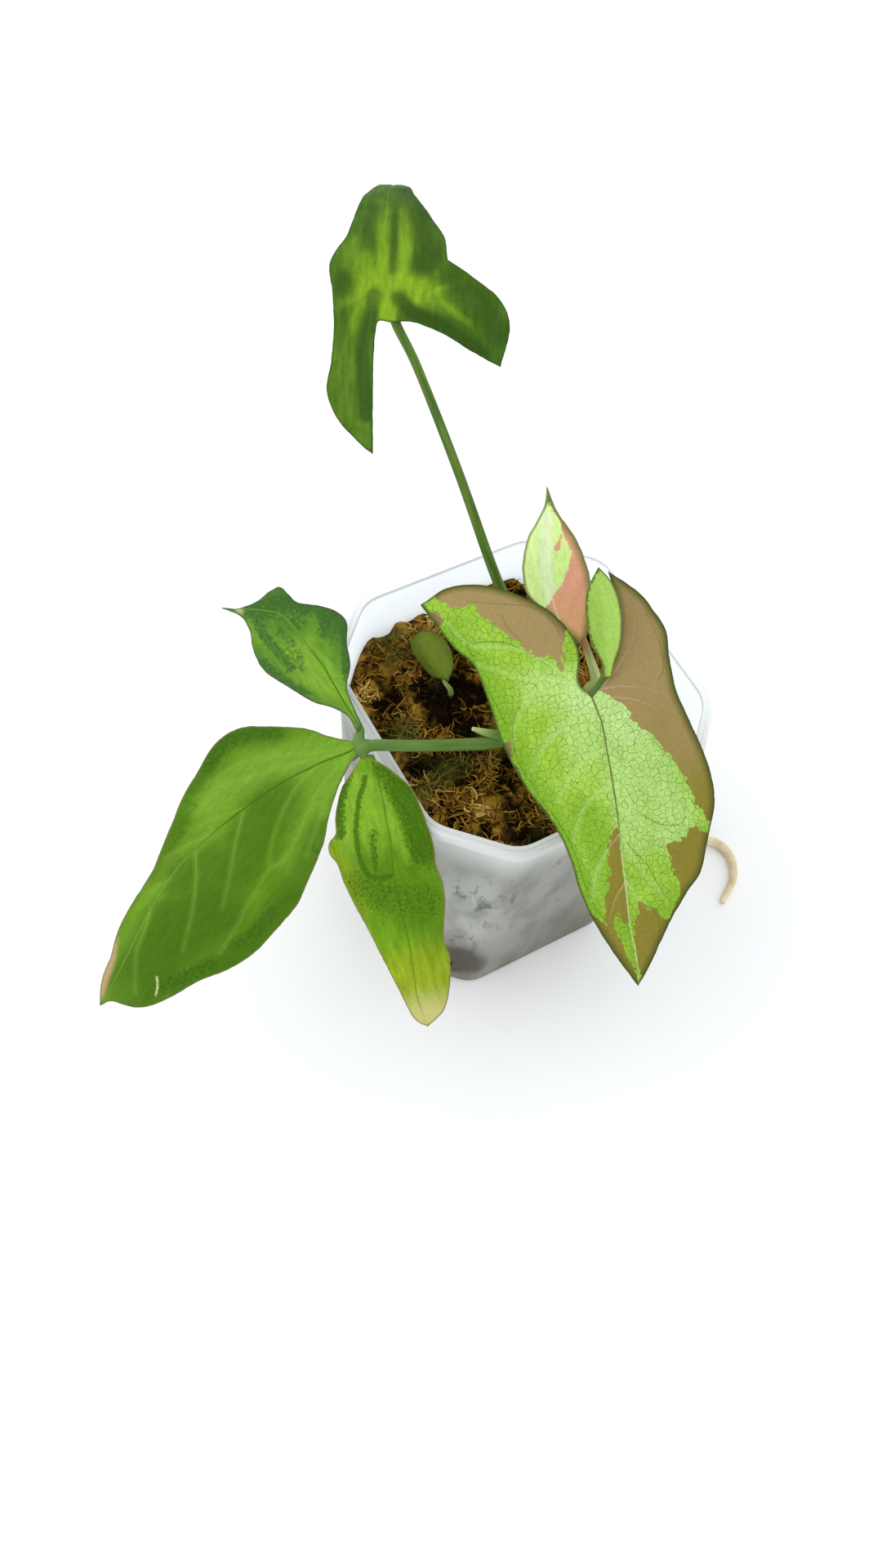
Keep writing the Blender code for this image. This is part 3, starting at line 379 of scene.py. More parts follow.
            [(0, 4.6), (-8, 5.8), (-18, 6), (-28, 4.8)],
        ],
        light=[([(4, 3.5), (8, 7), (12, 7.8), (18, 10)], 1.0, 4.4, 0.8, 0.7),
               ([(4.5, 4), (4, 0), (4.5, -4)], 1.6, 4.4, 1.0),
               ([(6, 2.3), (14, 2.9), (22, 3.1), (33, 3)], 0.7, 2.2, 0.95, 0.8),
               ([(5, -0.6), (12, -1.6), (20, -2.1), (36, -2.1)], 0.7, 2.2, 1.0, 0.8),
               ([(4.5, -1), (5.5, -5), (4.5, -9), (2.5, -14)], 1.2, 3.4, 0.95, 0.6),
               ([(4, -7.5), (6, -10.5), (7.5, -14)], 0.2, 1.1, 0.85, 0.5),
               ([(4.5, -5), (8.5, -8), (10, -11)], 0.2, 1.2, 0.85, 0.6),
               ([(3, -11), (0.5, -15), (-2, -19), (-5, -23)], 0.2, 1.4, 0.7, 0.9),
               ([(3.5, 5), (3.2, 9), (2.5, 13)], 0.9, 3.2, 0.8, 0.6),
               ([(2.5, 5.5), (0.5, 7), (-3, 8.5), (-10, 10)], 0.5, 1.9, 0.8, 0.9),
               ([(-2.6, 1.4), (3, 1.8)], 1.5, 1.0, 1.0)],
        # Painted shade where the blade folds: under the folded inner margins over the plate, in the
        # lobes' inner bands and in the midrib's crease; with darker tissue.
        shade=[([(3, 4.6), (-2.5, 5.4), (-6.5, 6.4), (-12, 6.4), (-24, 5)], 1.0, 1.4, 0.85),
               ([(2.5, -1.2), (0, -4), (-1.5, -8), (-2.5, -11.5), (-5.5, -16.5), (-8, -21.5)],
                0.9, 2.0, 0.95),
               ([(9, 0.5), (14, 0.6), (22.5, 0.6), (36, 0.3)], 0.3, 1.5, 0.75, 0.5),
               ([(6.5, 11.8), (4.5, 11.5)], 0.8, 3.0, 0.85),
               ([(15, 6.8), (22, 5.8), (27.5, 5)], 0.5, 2.4, 0.65),
               ([(11, -6.5), (14.5, -7.5), (20.5, -6), (27, -4.5), (36, -3)], 1.0, 4.5, 0.75),
               ([(8.5, -14), (6.5, -17.5), (3.5, -21.5), (-1.5, -24.5)], 1.0, 4.5, 0.6)],
        tip=[(50, -3), (50.5, 3), (56, 3), (56, -3)],
    ),
    "back_blade": dict(
        midrib=[(0, 0.4), (6.5, 4), (16, 5.2), (26, 4.8), (33, 3.4), (40, 1.6), (47, 0.2)],
        veins=[[(12, 5), (18, 7.5), (25, 9)], [(20, 5.1), (27, 7.5), (33, 8)],
               [(12, 4.8), (18, 1), (24, -2.5)], [(22, 5), (29, 1), (34, -1.5)],
               [(30, 4), (36, 5.5)], [(5, 3), (12, 0), (18, -3)]],
        light=[([(6, 3.4), (18, 5.4), (26, 5), (34, 3.4), (40, 1.8)], 0.5, 2.4, 0.9)],
        patches=[
            [(13, 8.5), (15.5, 7.5), (16, 6), (18.5, 4.5), (20.5, 1.5), (24.5, -1), (28, -2.5),
             (31.5, -2), (33, -1.6), (38, -1), (40.5, -0.3), (43, 0.1), (43, -3), (30, -9),
             (10, -9), (-3, -3), (-3, 3), (6, 7)],
            [(34.5, -1), (33, 0), (31.5, 1.5), (30, 2), (29.5, 0.5), (32, -0.5)],
        ],
        tip=[(42.8, -3), (43.2, 4), (50, 3), (50, -3)],
    ),
    "seedling_blade": dict(
        midrib=[(-0.4, -0.6), (5, -1.4), (10, -1.6), (15, -1.2)],
        veins=[[(3, -1.2), (7, 1.2), (11, 2.2)], [(3, -1.2), (7, -4), (11, -4.6)]],
        light=[([(3, -1.5), (12, -1.5)], 1.0, 3.0, 1.0)],
    ),
}


# ---------------------------------------------------------------- flat outlines

def smooth_run(points, step):
    """Points about a step apart on a smooth curve through the given ones (Catmull-Rom)."""
    pts = [np.array(p, float) for p in points]
    if len(pts) == 2:
        count = max(1, round(float(np.linalg.norm(pts[1] - pts[0])) / step))
        return [pts[0] + (pts[1] - pts[0]) * i / count for i in range(count)]
    ends = [pts[0] * 2.0 - pts[1]] + pts + [pts[-1] * 2.0 - pts[-2]]
    out = []
    for a, b, c, d in zip(ends, ends[1:], ends[2:], ends[3:]):
        count = max(1, round(float(np.linalg.norm(c - b)) / step))
        for i in range(count):
            u = i / count
            out.append(0.5 * (b * 2.0 + (c - a) * u + (a * 2.0 - b * 5.0 + c * 4.0 - d) * u * u
                              + (b * 3.0 - a - c * 3.0 + d) * u * u * u))
    return out


def smooth_line(points, step):
    return np.array(smooth_run(points, step) + [np.array(points[-1], float)])


def inside(points, ring):
    """Even-odd test of many points against a closed ring."""
    hit = np.zeros(len(points), bool)
    x, y = points[:, 0], points[:, 1]
    for p, q in zip(ring, np.roll(ring, -1, axis=0)):
        if p[1] != q[1]:
            crosses = (p[1] > y) != (q[1] > y)
            hit ^= crosses & (x < (q[0] - p[0]) * (y - p[1]) / (q[1] - p[1]) + p[0])
    return hit


def distance_to(points, line, closed=False):
    """Distance of many flat points from a line of straight steps, and the share along it."""
    starts = line if closed else line[:-1]
    ends = np.roll(line, -1, axis=0) if closed else line[1:]
    best = np.full(len(points), 1e9)
    share = np.zeros(len(points))
    for index, (p, q) in enumerate(zip(starts, ends)):
        way = q - p
        span = float(way @ way) or 1e-9
        u = np.clip(((points - p) @ way) / span, 0.0, 1.0)
        gap = np.linalg.norm(points - p - np.outer(u, way), axis=1)
        nearer = gap < best
        best[nearer] = gap[nearer]
        share[nearer] = (index + u[nearer]) / len(starts)
    return best, share


def depth_in(points, ring):
    """Signed distance to a ring's edge: positive inside."""
    ring = np.array(ring, float)
    gap, _ = distance_to(points, ring, closed=True)
    return np.where(inside(points, ring), gap, -gap)


def strokes(points, marks):
    """The strength at each point of soft lines: (points, half width, fade, strength), and a
    share of the line's length over which its far end dies away, where one is given."""
    total = np.zeros(len(points))
    for line, half, fade, strength, *dying in marks:
        gap, share = distance_to(points, smooth_line(line, 1.0))
        x = np.clip((gap - half) / fade, 0.0, 1.0)
        if dying:
            strength = strength * np.clip((1.0 - share) / dying[0], 0.0, 1.0)
        total = np.maximum(total, strength * (1.0 - x * x * (3.0 - 2.0 * x)))
    return total


def filled_outline(ring, spacing, lines=()):
    """Even triangles inside a closed flat ring, with vertices along the given lines."""
    low, high = ring.min(0), ring.max(0)
    rows = int((high[1] - low[1]) / (spacing * 0.866)) + 1
    columns = int((high[0] - low[0]) / spacing) + 1
    row, column = np.meshgrid(np.arange(rows + 1), np.arange(columns + 1), indexing="ij")
    grid = np.stack([low[0] + (column + 0.5 * (row % 2)) * spacing,
                     low[1] + row * spacing * 0.866], axis=-1).reshape(-1, 2)
    grid = grid[inside(grid, ring)]
    near, _ = distance_to(grid, ring, closed=True)
    grid = grid[near > 0.62 * spacing]
    kept_lines = []
    for line in lines:
        deep, _ = distance_to(line, ring, closed=True)
        line = line[inside(line, ring) & (deep > 0.4 * spacing)]
        for other in kept_lines:
            near = np.linalg.norm(line[:, None] - other[None], axis=2)
            line = line[near.min(1) > 0.5 * spacing] if len(line) else line
        if len(line):
            near = np.linalg.norm(grid[:, None] - line[None], axis=2).min(1)
            grid = grid[near > 0.55 * spacing]
            kept_lines.append(line)
    points = np.concatenate([ring, grid] + kept_lines)
    count = len(ring)
    edges = [(i, (i + 1) % count) for i in range(count)]
    verts, _, faces, *_ = delaunay_2d_cdt([Vector(p) for p in points], edges, [], 1, 1e-4)
    return np.array([(v.x, v.y) for v in verts]), np.array([f for f in faces if len(f) == 3])


# ---------------------------------------------------------------- meshes and pieces

def new_piece(name, points_mm, faces, node, material, uv=None, marks=None):
    """A finished mesh piece, from points in millimetres, riding on the plant's one body."""
    mesh = bpy.data.meshes.new(name)
    mesh.from_pydata((np.asarray(points_mm) * MM).tolist(), [], [list(f) for f in faces])
    mesh.update()
    if uv is not None:
        layer = mesh.uv_layers.new(name=LEAF_UV)
        corner = np.zeros(len(mesh.loops), np.int32)
        mesh.loops.foreach_get("vertex_index", corner)
        layer.data.foreach_set("uv", (np.asarray(uv)[corner] / UV_SPAN).ravel())
    for key, values in (marks or {}).items():
        mesh.attributes.new(key, "FLOAT", "POINT").data.foreach_set(
            "value", np.asarray(values, np.float32))
    mesh.polygons.foreach_set("use_smooth", [True] * len(mesh.polygons))
    obj = bpy.data.objects.new(name, mesh)
    bpy.context.scene.collection.objects.link(obj)
    mesh.materials.append(material)
    return settle(obj, node)


def settle(obj, node):
    """Let a piece ride on the plant's one body and stand for its node."""
    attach(obj, BODY)
    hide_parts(node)
    return obj


def fractal(points, scale, seed, octaves=3):
    """Smooth noise at many points, about -1 to 1."""
    out = np.empty(len(points))
    for i, p in enumerate(points):
        out[i] = noise.fractal(Vector((p[0] / scale, p[1] / scale, seed)), 1.0, 2.0, octaves)
    return out


def ragged(ring, size, seed):
    """The ring with its edge moved in and out a little, as a grown margin is."""
    back, ahead = np.roll(ring, 1, axis=0), np.roll(ring, -1, axis=0)
    way = ahead - back
    way /= np.maximum(np.linalg.norm(way, axis=1), 1e-9)[:, None]
    normal = np.stack([way[:, 1], -way[:, 0]], axis=1)
    return ring + normal * (fractal(ring, 1.9, seed) * size)[:, None]


def vertex_normals(points, faces):
    a, b, c = (points[faces[:, i]] for i in range(3))
    flat = np.cross(b - a, c - a)
    out = np.zeros_like(points)
    for i in range(3):
        np.add.at(out, faces[:, i], flat)
    return out / np.maximum(np.linalg.norm(out, axis=1), 1e-12)[:, None]


OUTLINE_STEP, RIB_STEP, VEIN_STEP = 0.75, 0.5, 0.6
RAGGEDNESS = 0.09               # how far a margin wanders in and out
NOWHERE = -20.0                 # the depth in an area that a blade doesn't have


def blade(name, form, runs, node, material, spacing=0.7, relief=1.0, seed=0.0):
    """A thin closed blade with its veins sunk in the top and raised beneath."""
    marks = MARKS[name]
    sizes = bpy.context.scene.plant_sizes
    ring = np.array([p for run in runs for p in smooth_run(run, OUTLINE_STEP)])
    ring = ragged(ring, RAGGEDNESS, seed + 20.0)
    midrib = smooth_line(marks["midrib"], RIB_STEP)
    veins = [smooth_line(line, VEIN_STEP) for line in marks["veins"]]
    arcs = [smooth_line(line, VEIN_STEP) for line in marks.get("arcs", [])]
    flat, faces = filled_outline(ring, spacing, [midrib] + veins + arcs)

    rib_gap, rib_share = distance_to(flat, midrib)
    vein_gap = np.full(len(flat), 1e9)
    for line in veins:
        gap, share = distance_to(flat, line)
        vein_gap = np.minimum(vein_gap, gap + 0.25 * share)
    arc_gap = np.full(len(flat), 20.0)
    for line in arcs:
        arc_gap = np.minimum(arc_gap, distance_to(flat, line)[0])
    edge_gap, _ = distance_to(flat, ring, closed=True)
    rib_width = 0.42 - 0.22 * rib_share
    groove = np.exp(-(rib_gap / (1.9 * rib_width)) ** 2)
    side_groove = np.exp(-(vein_gap / 0.55) ** 2)
    pillow = np.clip(np.minimum(vein_gap, rib_gap) / 3.2, 0.0, 1.0)
    pillow = pillow * pillow * (3.0 - 2.0 * pillow)
    margin = np.exp(-edge_gap / 2.2)
    swell = fractal(flat, 7.5, seed)
    lift = relief * (sizes.vein_depth / MM * (-groove - 0.55 * side_groove)
                     + sizes.quilting / MM * (pillow - 0.5) * np.clip(edge_gap / 3.0, 0.0, 1.0)
                     + 0.16 * swell + 0.32 * margin * fractal(flat, 5.0, seed + 9.0, 2))
    mid = form.point(flat[:, 0], flat[:, 1], lift)
    if np.mean(np.cross(mid[faces[:, 1]] - mid[faces[:, 0]],
                        mid[faces[:, 2]] - mid[faces[:, 0]]) @ form.up) < 0.0:
        faces = faces[:, ::-1]
    normal = vertex_normals(mid, faces)
    half = sizes.blade_thickness / MM * 0.5 * (0.6 + 0.4 * np.clip(edge_gap / 1.4, 0.0, 1.0))
    half = half + 0.10 * groove
    top, low = mid + normal * half[:, None], mid - normal * half[:, None]
    count = len(mid)
    rim = boundary_loop(faces)
    walls = [(b, a, a + count, b + count) for a, b in rim]
    all_faces = [tuple(f) for f in faces] + [tuple(f + count) for f in faces[:, ::-1]] + walls

    patch, tip = np.full(count, NOWHERE), np.full(count, NOWHERE)
    for area in marks.get("patches", []):
        patch = np.maximum(patch, depth_in(flat, area))
    for key in ("strip", "tip"):
        if key in marks:
            tip = np.maximum(tip, depth_in(flat, marks[key]))
    nick = np.full(count, 5.0)
    if "nick" in marks:
        nick, _ = distance_to(flat, np.array(marks["nick"], float))
    drawn = {"rib": rib_gap / rib_width, "along": rib_share, "vein": vein_gap, "edge": edge_gap,
             "arc": arc_gap, "patch": patch, "tip": tip, "nick": nick}
    for key in ("light", "yellow", "dark", "shade"):
        drawn[key] = strokes(flat, marks.get(key, []))
    drawn = {key: np.concatenate([values, values]) for key, values in drawn.items()}
    drawn["under"] = np.repeat([0.0, 1.0], count)
    return new_piece(name, np.concatenate([top, low]), all_faces, node, material,
                     uv=np.concatenate([flat, flat]), marks=drawn)


def boundary_loop(faces):
    """The edges that only one face uses, in that face's own direction."""
    used = dict.fromkeys((int(face[i]), int(face[(i + 1) % 3])) for face in faces
                         for i in range(3))
    return [(a, b) for a, b in used if (b, a) not in used]


def swept(path, sides=18, step=1.2, shape=None):
    """A closed tube along a smooth (x, y, z, radius) path: points, faces, uv and share."""
    line = smooth_line(path, step)
    centre, radius = line[:, :3], line[:, 3]
    way = np.gradient(centre, axis=0)
    way /= np.linalg.norm(way, axis=1)[:, None]
    normal = np.cross(way[0], (0.3, 0.2, 1.0) if abs(way[0][2]) < 0.9 else (1.0, 0.1, 0.0))
    points, uv, share = [], [], []
    length = np.concatenate([[0.0], np.cumsum(np.linalg.norm(np.diff(centre, axis=0), axis=1))])
    around = np.linspace(0.0, 2.0 * pi, sides, endpoint=False)
    for i in range(len(centre)):
        normal = normal - way[i] * float(normal @ way[i])
        normal /= np.linalg.norm(normal)
        side = np.cross(way[i], normal)
        u = length[i] / length[-1]
        scale = shape(u, around) if shape else np.ones(sides)
        ring = (centre[i] + np.outer(np.cos(around) * radius[i] * scale, normal)
                + np.outer(np.sin(around) * radius[i] * scale, side))
        points.append(ring)
        uv += [(length[i], a * 1.5) for a in around]
        share += [u] * sides
    faces = []
    for i in range(len(centre) - 1):
        for j in range(sides):
            k = (j + 1) % sides
            a, b = i * sides, (i + 1) * sides
            faces.append((a + j, a + k, b + k, b + j))
    points = np.concatenate(points)
    last = (len(centre) - 1) * sides
    ends = np.array([centre[0] - way[0] * radius[0] * 0.35,
                     centre[-1] + way[-1] * radius[-1] * 0.35])
    first_cap, last_cap = len(points), len(points) + 1
    for j in range(sides):
        k = (j + 1) % sides
        faces.append((first_cap, k, j))
        faces.append((last_cap, last + j, last + k))
    uv += [(0.0, 0.0), (length[-1], 0.0)]
    share += [0.0, 1.0]
    return np.concatenate([points, ends]), faces, np.array(uv), np.array(share)


def bundle(parts):
    """Several (points, faces, uv, share) sets as one, each still closed in itself."""
    points, faces, uv, share, base = [], [], [], [], 0
    for p, f, w, h in parts:
        points.append(p)
        faces += [tuple(i + base for i in face) for face in f]
        uv.append(w)
        share.append(h)
        base += len(p)
    return np.concatenate(points), faces, np.concatenate(uv), np.concatenate(share)


# ---------------------------------------------------------------- petioles, stem and root

SOCKET_FLOOR = 82.0
STRAIGHT_TOP = 97.5
STEM_AT, TALL_AT, FRONT_AT = (12.0, -8.5), (8.0, -2.0), (9.0, -15.5)
LEFT_AT, BACK_AT, SEEDLING_AT = (5.0, -10.0), (19.0, -6.0), (-14.5, 12.0)
TALL_PETIOLE = [
    (8, -2, 100.5, 1.9), (7, 5, 108, 1.65), (3.1, 21.9, 122.7, 1.4), (-4, 38.2, 153.8, 1.2),
    (-10, 52, 178, 1.1), (-13.4, 59.4, 189.0, 1.15),
]
FRONT_PETIOLE = [
    (9, -15.5, 101, 2.1), (7.5, -18, 110, 1.9), (3, -22.5, 126, 1.7), (-2.0, -26.2, 139.9, 1.35),
]
LEFT_PETIOLE = [
    (5, -10, 100.5, 2.1), (-1, -11.2, 105.2, 1.95), (-14.5, -12.5, 107.6, 1.8),
    (-27, -10.7, 112, 1.6), (-39.5, -7.5, 116, 1.5), (-49.5, -3.6, 117.2, 1.5),
]
BACK_PETIOLE = [(19, -6, 100.5, 1.9), (20, -6, 105, 1.5), (18.8, -1.8, 111.8, 1.1)]
SHEATH_TIP = [(-11, -12.4, 106.6, 1.7), (-16, -11.4, 110, 1.4), (-21.2, -8.4, 112.4, 0.5)]
STEM_PROFILE = [
    (SOCKET_FLOOR, 2.8), (92, 3.1), (97, 3.3), (98, 3.7), (99, 3.2), (102.5, 3.0), (103.5, 3.4),
    (104.5, 2.7), (107, 2.0), (109, 0.9),
]
ROOT_PATH = [
    (24.5, -24.5, 7.5, 1.3), (30.5, -30.5, 7.0, 1.35), (36, -33, 4.6, 1.4), (43, -33, 2.2, 1.5),
    (55, -29.5, 1.75, 1.6), (67, -27.2, 1.75, 1.6), (75, -30.5, 1.75, 1.6),
    (77.6, -37, 1.7, 1.55), (74.6, -44.5, 1.5, 1.35), (65.5, -51, 1.1, 0.9),
]


def standing(spot, path, form, reach, radius):
    """A petiole's path, with its straight foot in the moss and its end under the blade."""
    foot = [(*spot, SOCKET_FLOOR, path[0][3]), (*spot, STRAIGHT_TOP, path[0][3])]
    end = form.point(reach, 0.0, -0.4 - radius)[0]
    return foot + path + [(*end, radius)]


def grooved(depth, sheath, turn):
    """A petiole's section: a groove along it, with two low wings at its sheathed foot."""
    def shape(u, around):
        low = np.clip(1.0 - u / max(sheath, 1e-6), 0.0, 1.0) ** 0.5
        gap = (around - turn + pi) % (2.0 * pi) - pi
        wings = np.exp(-((np.abs(gap) - 0.55) / 0.28) ** 2)
        groove = np.exp(-(gap / 0.4) ** 2)
        return 1.0 + 0.10 * low * wings - (depth + 0.12 * low) * groove
    return shape


def turned(part):
    """The same sweep, coloured as if it had grown from its far end."""
    points, faces, uv, share = part
    return points, faces, uv, 0.6 - 0.6 * share


def grown(part):
    """The same sweep, coloured all along as the far end of a petiole is."""
    points, faces, uv, share = part
    return points, faces, uv, np.ones(len(share))


def keel(form, name, length, radius, lift=-0.42, neck=()):
    """The rounded rib under a blade, along the drawn midrib, tapering to the tip.

    neck is what comes before it: the short stalk of a leaflet, as (x, y, z, radius)."""
    line = smooth_line(MARKS[name]["midrib"], 2.0)
    gone = np.concatenate([[0.0], np.cumsum(np.linalg.norm(np.diff(line, axis=0), axis=1))])
    line, gone = line[gone <= length], gone[gone <= length]
    path = list(neck)
    for (s, t), run in zip(line, gone):
        r = radius + (0.32 - radius) * run / length
        path.append((*form.point(s, t, lift - r)[0], r))
    return swept(path, sides=12, step=1.5)


# ---------------------------------------------------------------- shader helpers and groups

class Nodes:
    """Adds and links the nodes of one shader tree."""

    def __init__(self, tree):
        self.tree = tree

    def add(self, kind, inputs=None, **settings):
        node = self.tree.nodes.new(kind)
        for key, value in settings.items():
            setattr(node, key, value)
        for key, value in (inputs or {}).items():
            self.feed(node.inputs[key], value)
        return node

    def feed(self, socket, value):
        if isinstance(value, bpy.types.NodeSocket):
            self.tree.links.new(value, socket)
        elif isinstance(value, (tuple, list)) and socket.type == "RGBA" and len(value) == 3:
            socket.default_value = (*value, 1.0)
        else:
            socket.default_value = value

    def math(self, operation, a, b=0.0, c=0.0, clamp=False):
        return self.add("ShaderNodeMath", {0: a, 1: b, 2: c}, operation=operation,
                        use_clamp=clamp).outputs[0]

    def times(self, a, b, clamp=False):
        return self.math("MULTIPLY", a, b, clamp=clamp)

    def plus(self, a, b, clamp=False):
        return self.math("ADD", a, b, clamp=clamp)

    def span(self, value, width, low):
        """From low to low + width, as value goes from 0 to 1."""
        return self.math("MULTIPLY_ADD", value, width, low)

    def sway(self, value, width):
        """A value taken about its middle of 0.5, times a width."""
        return self.times(self.math("SUBTRACT", value, 0.5), width)

    def mix(self, factor, a, b, blend="MIX"):
        node = self.add("ShaderNodeMix", data_type="RGBA", blend_type=blend)
        for key, value in ((0, factor), (6, a), (7, b)):
            self.feed(node.inputs[key], value)
        return node.outputs[2]

    def ramp(self, value, low, high):
        """0 below low and 1 above high, smooth between; low may be the larger."""
        return self.add("ShaderNodeMapRange", {0: value, 1: low, 2: high},
                        interpolation_type="SMOOTHSTEP").outputs[0]

    def noise(self, vector, scale, detail=2.0, roughness=0.5, distortion=0.0):
        return self.add("ShaderNodeTexNoise", {"Vector": vector, "Scale": scale, "Detail": detail,
                        "Roughness": roughness, "Distortion": distortion}).outputs["Fac"]

    def attribute(self, name):
        return self.add("ShaderNodeAttribute", attribute_name=name).outputs["Fac"]

    def group(self, name, inputs):
        return self.add("ShaderNodeGroup", inputs, node_tree=bpy.data.node_groups[name]).outputs

    def stretched(self, vector, scale, turn=(0.0, 0.0, 0.0)):
        return self.add("ShaderNodeMapping", {"Vector": vector, "Rotation": turn,
                                              "Scale": scale}).outputs[0]

    def darkened(self, colour, value):
        grey = self.add("ShaderNodeCombineColor", {0: value, 1: value, 2: value}).outputs[0]
        return self.mix(1.0, colour, grey, "MULTIPLY")

    def supply(self, shader, colour, rough, bump, specular=None, ior=None):
        """Feed a finish's shader: rough is (value, width, low) and bump is (height, strength,
        distance in mm)."""
        height, strength, distance = bump
        self.feed(shader.inputs["Base Color"], colour)
        self.feed(shader.inputs["Roughness"], self.span(*rough))
        self.feed(shader.inputs["Normal"], self.add("ShaderNodeBump", {
            "Height": height, "Strength": strength, "Distance": distance * MM}).outputs[0])
        for key, value in (("Specular IOR Level", specular), ("IOR", ior)):
            if value is not None:
                shader.inputs[key].default_value = value


def new_group(name, inputs, outputs):
    """An empty shader group with named sockets: (nodes, input sockets, output node)."""
    tree = bpy.data.node_groups.new(name, "ShaderNodeTree")
    for key, kind, value in inputs:
        socket = tree.interface.new_socket(name=key, in_out="INPUT", socket_type=kind)
        if value is not None:
            socket.default_value = value
    for key, kind in outputs:
        tree.interface.new_socket(name=key, in_out="OUTPUT", socket_type=kind)
    nodes = Nodes(tree)
    return nodes, nodes.add("NodeGroupInput").outputs, nodes.add("NodeGroupOutput").inputs


FLOAT, VECTOR = "NodeSocketFloat", "NodeSocketVector"
CELL_TONE = 0.06                # how much the cells of a leaf's net differ in tone
DARK_SPOT_AT = (-0.0285, -0.0335, 0.009)    # the dark brown spot low on the wall, in metres, with z halved
INNER_GLOW = 0.56               # light that comes through the pot's wall above the moss


def build_groups():
    """The effects that several finishes share."""
    n, i, o = new_group("vein_net", [("Vector", VECTOR, None), ("Scale", FLOAT, 60.0),
                                     ("Width", FLOAT, 0.06), ("Wander", FLOAT, 0.01)],
                        [("Line", FLOAT), ("Cell", FLOAT), ("Fine", FLOAT)])
    place = i["Vector"]
    for scale, share in ((40.0, 1.0), (170.0, 0.42)):
        wander = n.add("ShaderNodeTexNoise", {"Vector": i["Vector"], "Scale": scale, "Detail": 1.0})
        shift = n.add("ShaderNodeVectorMath", {0: wander.outputs["Color"], 1: (0.5, 0.5, 0.5)},
                      operation="SUBTRACT").outputs[0]
        shift = n.add("ShaderNodeVectorMath", {
            0: shift, "Scale": n.times(i["Wander"], share)}, operation="SCALE")
        place = n.add("ShaderNodeVectorMath", {0: place, 1: shift.outputs[0]}).outputs[0]
    broken = n.noise(i["Vector"], 55.0, 2.0, 0.6)
    cells = n.add("ShaderNodeTexVoronoi", {"Vector": place, "Scale": i["Scale"]},
                  voronoi_dimensions="2D")
    levels = []
    for factor in (1.0, 2.3):
        edge = n.add("ShaderNodeTexVoronoi", {
            "Vector": place, "Scale": n.times(i["Scale"], factor)},
            voronoi_dimensions="2D", feature="DISTANCE_TO_EDGE")
        width = n.times(i["Width"], factor * 0.9)
        levels.append(n.ramp(edge.outputs["Distance"], width, n.times(width, 0.3)))
    n.feed(o["Line"], n.times(levels[0], n.ramp(broken, 0.30, 0.52)))
    n.feed(o["Fine"], n.times(levels[1], n.ramp(broken, 0.66, 0.44)))
    n.feed(o["Cell"], n.add("ShaderNodeSeparateColor", {0: cells.outputs["Color"]}).outputs[0])

    n, i, o = new_group("mottling", [("Vector", VECTOR, None), ("Density", FLOAT, 0.5),
                                     ("Scale", FLOAT, 20.0), ("Fade", FLOAT, 0.1),
                                     ("Spread", FLOAT, 0.3)],
                        [("Mask", FLOAT)])
    cloud = n.noise(i["Vector"], i["Scale"], detail=5.0, roughness=0.62)
    limit = n.math("SUBTRACT", 0.78, n.times(i["Density"], i["Spread"]))
    n.feed(o["Mask"], n.ramp(cloud, limit, n.plus(limit, i["Fade"])))

    n, i, o = new_group("grain", [("Vector", VECTOR, None), ("Scale", FLOAT, 100.0),
                                  ("Broad", FLOAT, 6.0)],
                        [("Tone", FLOAT), ("Speck", FLOAT)])
    n.feed(o["Tone"], n.noise(i["Vector"], i["Broad"], detail=3.0))
    n.feed(o["Speck"], n.noise(i["Vector"], i["Scale"], detail=3.0, roughness=0.7))


def new_material(name):
    mat = bpy.data.materials.new(name)
    mat.use_nodes = True
    nodes = Nodes(mat.node_tree)
    return mat, nodes, mat.node_tree.nodes["Principled BSDF"]


